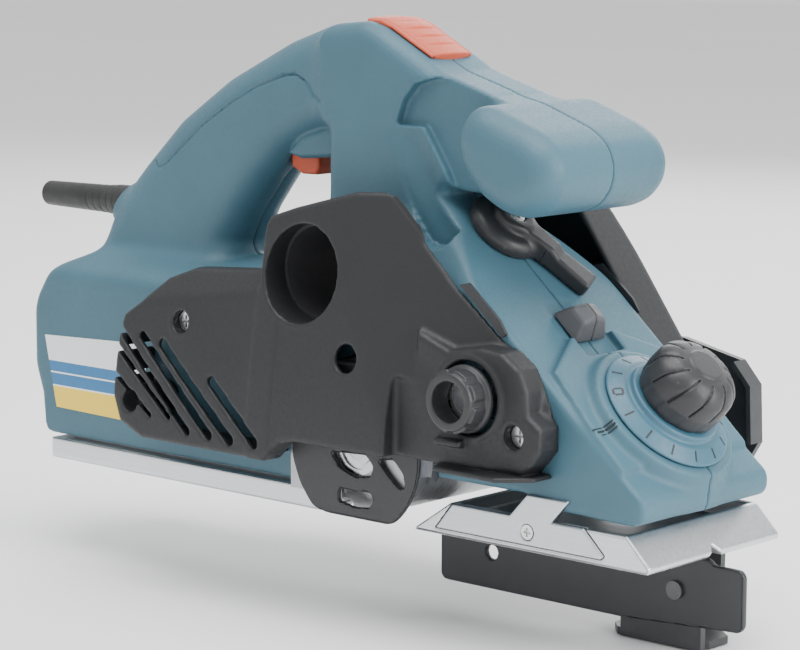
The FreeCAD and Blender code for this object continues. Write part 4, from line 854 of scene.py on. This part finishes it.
def make_lever():
    """The selector: a domed hub with a raised middle, and a thick bar that ends in a paddle."""
    turn = math.radians(27.0)
    along = DOWNHILL * math.cos(turn) + LEFT * math.sin(turn)
    across = -DOWNHILL * math.sin(turn) + LEFT * math.cos(turn)
    grid = Grid((-16.5, -16.5, 0.35), (41, 16.5, 10.2), 0.5)
    x, y, z = grid.x, grid.y, grid.z
    radius = np.sqrt(x ** 2 + y ** 2)
    rim = both(radius - 15.7, z - 6.6, 4.2)
    boss = both(radius - 8.4, z - 9.9, 1.4)
    hub = either(rim, boss, 1.6)
    half = np.interp(x, [0, 12, 22, 40], [7.0, 4.8, 4.3, 5.6])
    bar_top = np.interp(x, [0, 14, 20, 24, 40], [9.4, 9.4, 9.2, 7.6, 7.0])
    bar = both(both(np.abs(y) - half, z - bar_top, 1.3), 1.0 - z, 1.0)
    bar = both(bar, span(x, 0, 40), 1.6)
    lever = both(either(hub, bar, 1.8), 0.4 - z, 0.5)
    for angle in (2.15, 2.75):
        off = x * math.sin(angle) - y * math.cos(angle)
        ahead = x * math.cos(angle) + y * math.sin(angle)
        notch = both(both(np.abs(off) - 0.4, 9.2 - radius), -ahead)
        lever = without(lever, both(notch, -(lever + 0.7)))
    lever = without(lever, both(radius - 4.3, 7.6 - z), 0.5)
    settle(solid_piece("selector_lever_grip", grid, lever, (HUB, along, across, TILT)), "selector",
           MATERIALS["control_plastic"], "control_plastic", "selector_lever")


def make_slider():
    """The depth lock: a saddle-shaped thumb piece with a line along its middle."""
    grid = Grid((-58, -9.6, SLIDER_FLOOR), (-41, 9.6, SLIDER_FLOOR + 9.8), 0.4)
    x, y, z = grid.x, grid.y, grid.z - SLIDER_FLOOR
    ends = both((-57.4 + 0.42 * z) - x, x - (-41.6 - 0.48 * z), 2.0)
    sides = np.abs(y) - (9.4 - 0.34 * z)
    crown = z - (9.4 - 0.030 * y ** 2)
    slide = both(both(ends, sides, 1.8), crown, 2.0)
    for centre in (-5.75, 5.75):
        slide = without(slide, round_bar(y, z, centre, 15.0, 6.9), 1.0)
    slide = both(slide, 0.3 - z, 0.2)
    slide = without(slide, both(np.abs(y) - 0.35, -(slide + 0.8)))
    settle(solid_piece("depth_lock_grip", grid, slide, SLOPE_FRAME), "depth_lock",
           MATERIALS["slider_plastic"], "slider_plastic", "depth_lock_slider")


def make_clamp_nut():
    """The rod's clamp nut, with six raised pads round its barrel."""
    low, high = box_in_mm("clamp_nut")
    length = high.y - low.y
    grid = Grid((-13.2, -13.2, 0), (13.2, 13.2, length), 0.42)
    x, y, z = grid.x, grid.y, grid.z
    radius = np.sqrt(x ** 2 + y ** 2)
    girth = np.interp(z, [0, 2.0, 3.2, length], [13.0, 12.9, 11.6, 10.9])
    nut = both(radius - girth, span(z, 0, length), 0.8)
    angle = np.arctan2(y, x)
    sector = math.pi / 4
    off = (np.mod(angle, sector) - sector / 2) * radius
    pad = both(both(np.abs(off) - 3.2, span(z, 3.4, length - 1.6), 0.5), radius - 12.1, 0.5)
    pad = both(pad, 9.0 - radius)
    nut = either(nut, pad, 0.3)
    nut = without(nut, radius - 7.8, 0.5)
    nut = without(nut, both(radius - 8.93, z - 2.0))
    origin = np.array((GUIDE[0], high.y, GUIDE[2]))
    place = (origin, np.array((1.0, 0, 0)), np.array((0, 0, 1.0)), np.array((0, -1.0, 0)))
    settle(solid_piece("clamp_nut_grip", grid, nut, place), "rod_clamp", MATERIALS["control_plastic"],
           "control_plastic", "clamp_nut")


STEP_PITCH = 5.6


def make_thumb_rest():
    """The soft pad on the column: crowned across, with four steps down its length."""
    line = [(77.6, 194.9), (86, 194.7), (93, 192.1), (113.4, 181.2), (112.5, 178.3), (91, 189.2),
            (82, 190.6), (77, 190.6)]
    grid = Grid((76, -12.9, 177), (114, 12.9, 195.2), 0.45)
    x, y, z = grid.x, grid.y, grid.z
    pad = both(outline(line, x, z) + 0.006 * y ** 2, np.abs(y) - 12.6, 1.2)
    for step in range(4):
        centre_x = 90.5 + STEP_PITCH * step
        centre_z = 193.75 - 0.52 * STEP_PITCH * step
        rib = both(round_bar(x, z, centre_x, centre_z, 1.0), np.abs(y) - 9.5)
        pad = without(pad, rib, 0.25)
    edge_line = both(np.abs(np.abs(y) - 10.6) - 0.3, -(pad + 0.4))
    pad = without(pad, edge_line)
    settle(solid_piece("thumb_rest_pad", grid, pad), "machine", MATERIALS["orange_plastic"],
           "orange_plastic", "thumb_rest")


def make_trigger():
    low, high = box_in_mm("trigger")
    grid = Grid((low.x, low.y, low.z), (high.x, high.y, high.z), 0.5)
    x, y, z = grid.x, grid.y, grid.z
    line = [(29.3, 143), (30.2, 131.8), (36, 129.0), (44, 129.2), (45.9, 132), (45.9, 146.4), (29.3, 148.3)]
    lever = both(outline(line, x, z), np.abs(y) - 6.0, 1.6)
    settle(solid_piece("trigger_lever_grip", grid, lever), "trigger_lever", MATERIALS["orange_plastic"],
           "orange_plastic", "trigger")


GUARD_LINE = [(72.5, 40), (72.5, 22), (76.5, 12), (83, 3.5), (93, 2.3), (127, 2.3), (137, 6.5), (143, 13),
              (145, 30), (140, 44), (76, 44)]
GUARD_WINDOWS = [[(94, 27), (98.5, 21.5), (107, 18.8), (115, 20), (116.5, 24), (112.5, 28)],
                 [(119, 27), (124.5, 21.5), (130, 17.2), (132.8, 18), (132, 23), (127, 28)],
                 [(98.5, 13), (115, 13.4), (116.5, 10.9), (114.6, 7.6), (107, 6.7), (98, 8.2)]]


def make_guard():
    """The side guard: a thin plate with three windows and rounded edges."""
    low, high = box_in_mm("side_guard")
    grid = Grid((72, low.y, 2.2), (140, high.y, 44), 0.5)
    x, y, z = grid.x, grid.y, grid.z
    shape = both(outline(GUARD_LINE, x, z), round_bar(x, z, DRUM[0], DRUM[2], 34.0), 2.0)
    shape = either(shape, round_bar(x, z, GUARD_PIVOT[0], GUARD_PIVOT[2], 5.0), 1.0)
    plate = both(shape, span(y, low.y, high.y), 0.5)
    for window in GUARD_WINDOWS:
        plate = without(plate, softened(outline(window, x, z), 1.5), 0.4)
    plate = without(plate, round_bar(x, z, GUARD_PIVOT[0], GUARD_PIVOT[2], 2.1))
    settle(solid_piece("side_guard_plate", grid, plate), "guard", MATERIALS["guard_plastic"],
           "guard_plastic", "side_guard")


def make_boot():
    """The cord's sleeve: tapered, with a rounded mouth and fine flexing grooves near its root."""
    low, high = box_in_mm("cord_boot")
    length = high.x - low.x
    grid = Grid((-7.2, -7.2, 0), (7.2, 7.2, length), 0.45)
    x, y, z = grid.x, grid.y, grid.z
    radius = np.sqrt(x ** 2 + y ** 2)
    girth = np.interp(z, [0, 40, 48, length], [5.5, 6.2, 6.9, 6.9])
    ripple = 0.35 * np.maximum(np.cos((z - 49.0) * 2 * math.pi / 4.5), 0) ** 6 * (z > 30) * (z < 58)
    boot = both(radius - girth + ripple, span(z, 0, length), 0.9)
    boot = without(boot, radius - 3.8, 0.6)
    place = (np.array((low.x, 0.0, CORD_Z)), np.array((0, 1.0, 0)), np.array((0, 0, 1.0)),
             np.array((1.0, 0, 0)))
    settle(solid_piece("cord_boot_sleeve", grid, boot, place), "machine", MATERIALS["boot_rubber"],
           "boot_rubber", "cord_boot")


def make_pointer():
    """Three strokes beside the dial that it is read against. They climb from the plateau onto the pad."""
    bars = []
    for row, half in enumerate((0.2, 0.4, 0.2)):
        down = -1.6 + 1.5 * row
        path = [(-38.2 + 1.2 * row, -SLOPE_DROP + 1.85), (-33.0, -SLOPE_DROP + 1.85), (-30.4, -0.88)]
        for (y0, h0), (y1, h1) in zip(path, path[1:]):
            corners = []
            for sink in (0.8, 0.0):
                for y, height, side in ((y0, h0, -1), (y0, h0, 1), (y1, h1, 1), (y1, h1, -1)):
                    place = RING + DOWNHILL * (down + side * half) + LEFT * y + TILT * (height - sink)
                    corners.append(Vector(place * MM))
            bars.append(corners)
    settle(bars_object("pointer_marks", bars), "machine", MATERIALS["dial_paint"], "control_plastic")


def make_front_shoe():
    """The sliding front sole: a bright block with sloped ends and a V groove along its middle."""
    low, high = box_in_mm("front_shoe")
    grid = Grid((low.x, low.y, -0.2), (high.x, high.y, 13.2), 0.6)
    x, y, z = grid.x, grid.y, grid.z
    side = [(low.x, 0), (high.x - 1, 0), (high.x, 1), (high.x, 2.6), (high.x - 10.5, 13), (low.x + 18, 13),
            (low.x + 0.5, 1.2)]
    shoe = both(outline(side, x, z), np.abs(y) - 41.0, 0.6)
    hollow = outline([(low.x + 14, 6), (high.x - 11, 6), (high.x - 14, 20), (low.x + 24, 20)], x, z)
    shoe = without(shoe, both(hollow, np.abs(y) - 37.5), 0.5)
    shoe = without(shoe, both(outline(SIDE_PLATE, x, z) - 0.3, y + 38.5))
    shoe = without(shoe, outline([(-5.4, -1), (5.4, -1), (0, 4.4)], y, z), 0.3)
    settle(solid_piece("front_shoe_block", grid, shoe), "shoe", MATERIALS["sole_metal"], "sole_metal",
           "front_shoe")


SIDE_PLATE = [(141.0, 2.6), (221.0, 2.6), (222.6, 4.0), (213.0, 13.0), (198.0, 13.0), (206.3, 22.0),
              (186.3, 22.0), (178.0, 13.0), (149.5, 13.0)]
PLATE_SCREW = (186.5, 7.6)


def make_side_plate():
    grid = Grid((140.5, -41.6, 2.2), (223, -38.4, 22.4), 0.45)
    x, y, z = grid.x, grid.y, grid.z
    plate = both(outline(SIDE_PLATE, x, z), span(y, -41.4, -38.5), 0.5)
    plate = without(plate, both(round_bar(x, z, *PLATE_SCREW, 3.1), y + 40.2), 0.3)
    settle(solid_piece("shoe_side_cover", grid, plate), "shoe", MATERIALS["side_plate_metal"],
           "side_plate_metal", "shoe_side_plate")


def make_rear_sole():
    low, high = box_in_mm("rear_sole")
    grid = Grid((low.x, low.y, low.z), (high.x, high.y, high.z), 0.8)
    x, y, z = grid.x, grid.y, grid.z
    sole = both(both(span(x, low.x, high.x), span(y, low.y, high.y), 0.8), span(z, low.z, high.z), 0.6)
    sole = without(sole, round_bar(x, z, DRUM[0], DRUM[2], 33.0), 0.5)
    settle(solid_piece("rear_sole_block", grid, sole), "machine", MATERIALS["sole_metal"], "sole_metal",
           "rear_sole")


FENCE_LINE = [(103, -3), (103, -30), (105, -32), (195, -32), (250, -29), (252, -27), (252, -7), (250, -5),
              (238, -5), (236.5, -3)]
FENCE_HOLE = (130.0, -17.0)


def make_fence():
    """The fence: a black plate with small corner radii and one open hole."""
    low, high = box_in_mm("fence_plate")
    grid = Grid((low.x, low.y, low.z), (high.x, high.y, high.z), 0.6)
    x, y, z = grid.x, grid.y, grid.z
    plate = both(softened(outline(FENCE_LINE, x, z), 1.2), span(y, low.y, high.y), 0.4)
    plate = without(plate, round_bar(x, z, *FENCE_HOLE, 3.0), 0.3)
    settle(solid_piece("fence_face", grid, plate), "fence", MATERIALS["fence_steel"], "fence_steel",
           "fence_plate")


PIECES = (make_housing, make_right_cover, make_left_cover, make_knob, make_ring, make_lever, make_slider,
          make_clamp_nut, make_thumb_rest, make_trigger, make_guard, make_boot, make_pointer, make_front_shoe,
          make_side_plate, make_rear_sole, make_fence)
for make_piece in PIECES:
    make_piece()

# ---- CAD nodes that stay: crisp creases and full materials ----
NODE_SLOTS = {row["node"]: row["material_slot"] for row in frame["record"]["subparts"]}
CREASE = math.radians(32)


def dress_node(name, node):
    """The CAD mesh keeps its shape: near points are joined, creases stay sharp and flat faces stay flat."""
    node.data.materials.clear()
    node.data.materials.append(MATERIALS[NODE_SLOTS[name]])
    if node.hide_render:
        return
    weld = node.modifiers.new("weld", "WELD")
    weld.merge_threshold = 0.000001
    node.data.shade_smooth()
    split = node.modifiers.new("creases", "EDGE_SPLIT")
    split.split_angle = CREASE
    flat = node.modifiers.new("flat_faces", "WEIGHTED_NORMAL")
    flat.keep_sharp = True


for node_name, node_object in frame["nodes"].items():
    dress_node(node_name, node_object)


# ---- studio ----
def make_floor():
    level = CAD_BOX[0].z - 0.0005
    half = 6.0
    mesh = bmesh.new()
    corners = [mesh.verts.new((x * half, y * half, level)) for x, y in ((-1, -1), (1, -1), (1, 1), (-1, 1))]
    mesh.faces.new(corners)
    data = bpy.data.meshes.new("floor")
    mesh.to_mesh(data)
    mesh.free()
    floor = bpy.data.objects.new("floor", data)
    bpy.context.scene.collection.objects.link(floor)
    nodes = Nodes("floor_paint")
    tone = nodes.ramp(nodes.noise(1.5), [(0.3, (0.93, 0.93, 0.93)), (0.7, (0.95, 0.95, 0.95))])
    nodes.link(tone, nodes.shader.inputs["Base Color"])
    nodes.shader.inputs["Roughness"].default_value = 0.8
    data.materials.append(nodes.material)


def area_light(name, place, target, size, power, colour=(1.0, 1.0, 1.0)):
    data = bpy.data.lights.new(name, "AREA")
    data.shape = "RECTANGLE"
    data.size, data.size_y = size
    data.energy = power
    data.color = colour
    lamp = bpy.data.objects.new(name, data)
    lamp.location = place
    lamp.rotation_euler = (Vector(target) - Vector(place)).to_track_quat("-Z", "Y").to_euler()
    bpy.context.scene.collection.objects.link(lamp)


def make_world():
    world = bpy.data.worlds.new("studio")
    world.use_nodes = True
    background = world.node_tree.nodes["Background"]
    background.inputs["Color"].default_value = (1.0, 1.0, 1.0, 1.0)
    background.inputs["Strength"].default_value = 0.95
    bpy.context.scene.world = world


make_floor()
make_world()
MIDDLE = (0.07, 0.0, 0.08)
area_light("key", (0.25, -0.15, 1.5), MIDDLE, (1.3, 1.3), 30.0)
area_light("side", (1.5, 0.25, 0.55), MIDDLE, (0.8, 1.0), 20.0)
area_light("back", (-0.5, 1.5, 0.9), MIDDLE, (1.6, 0.8), 16.0)
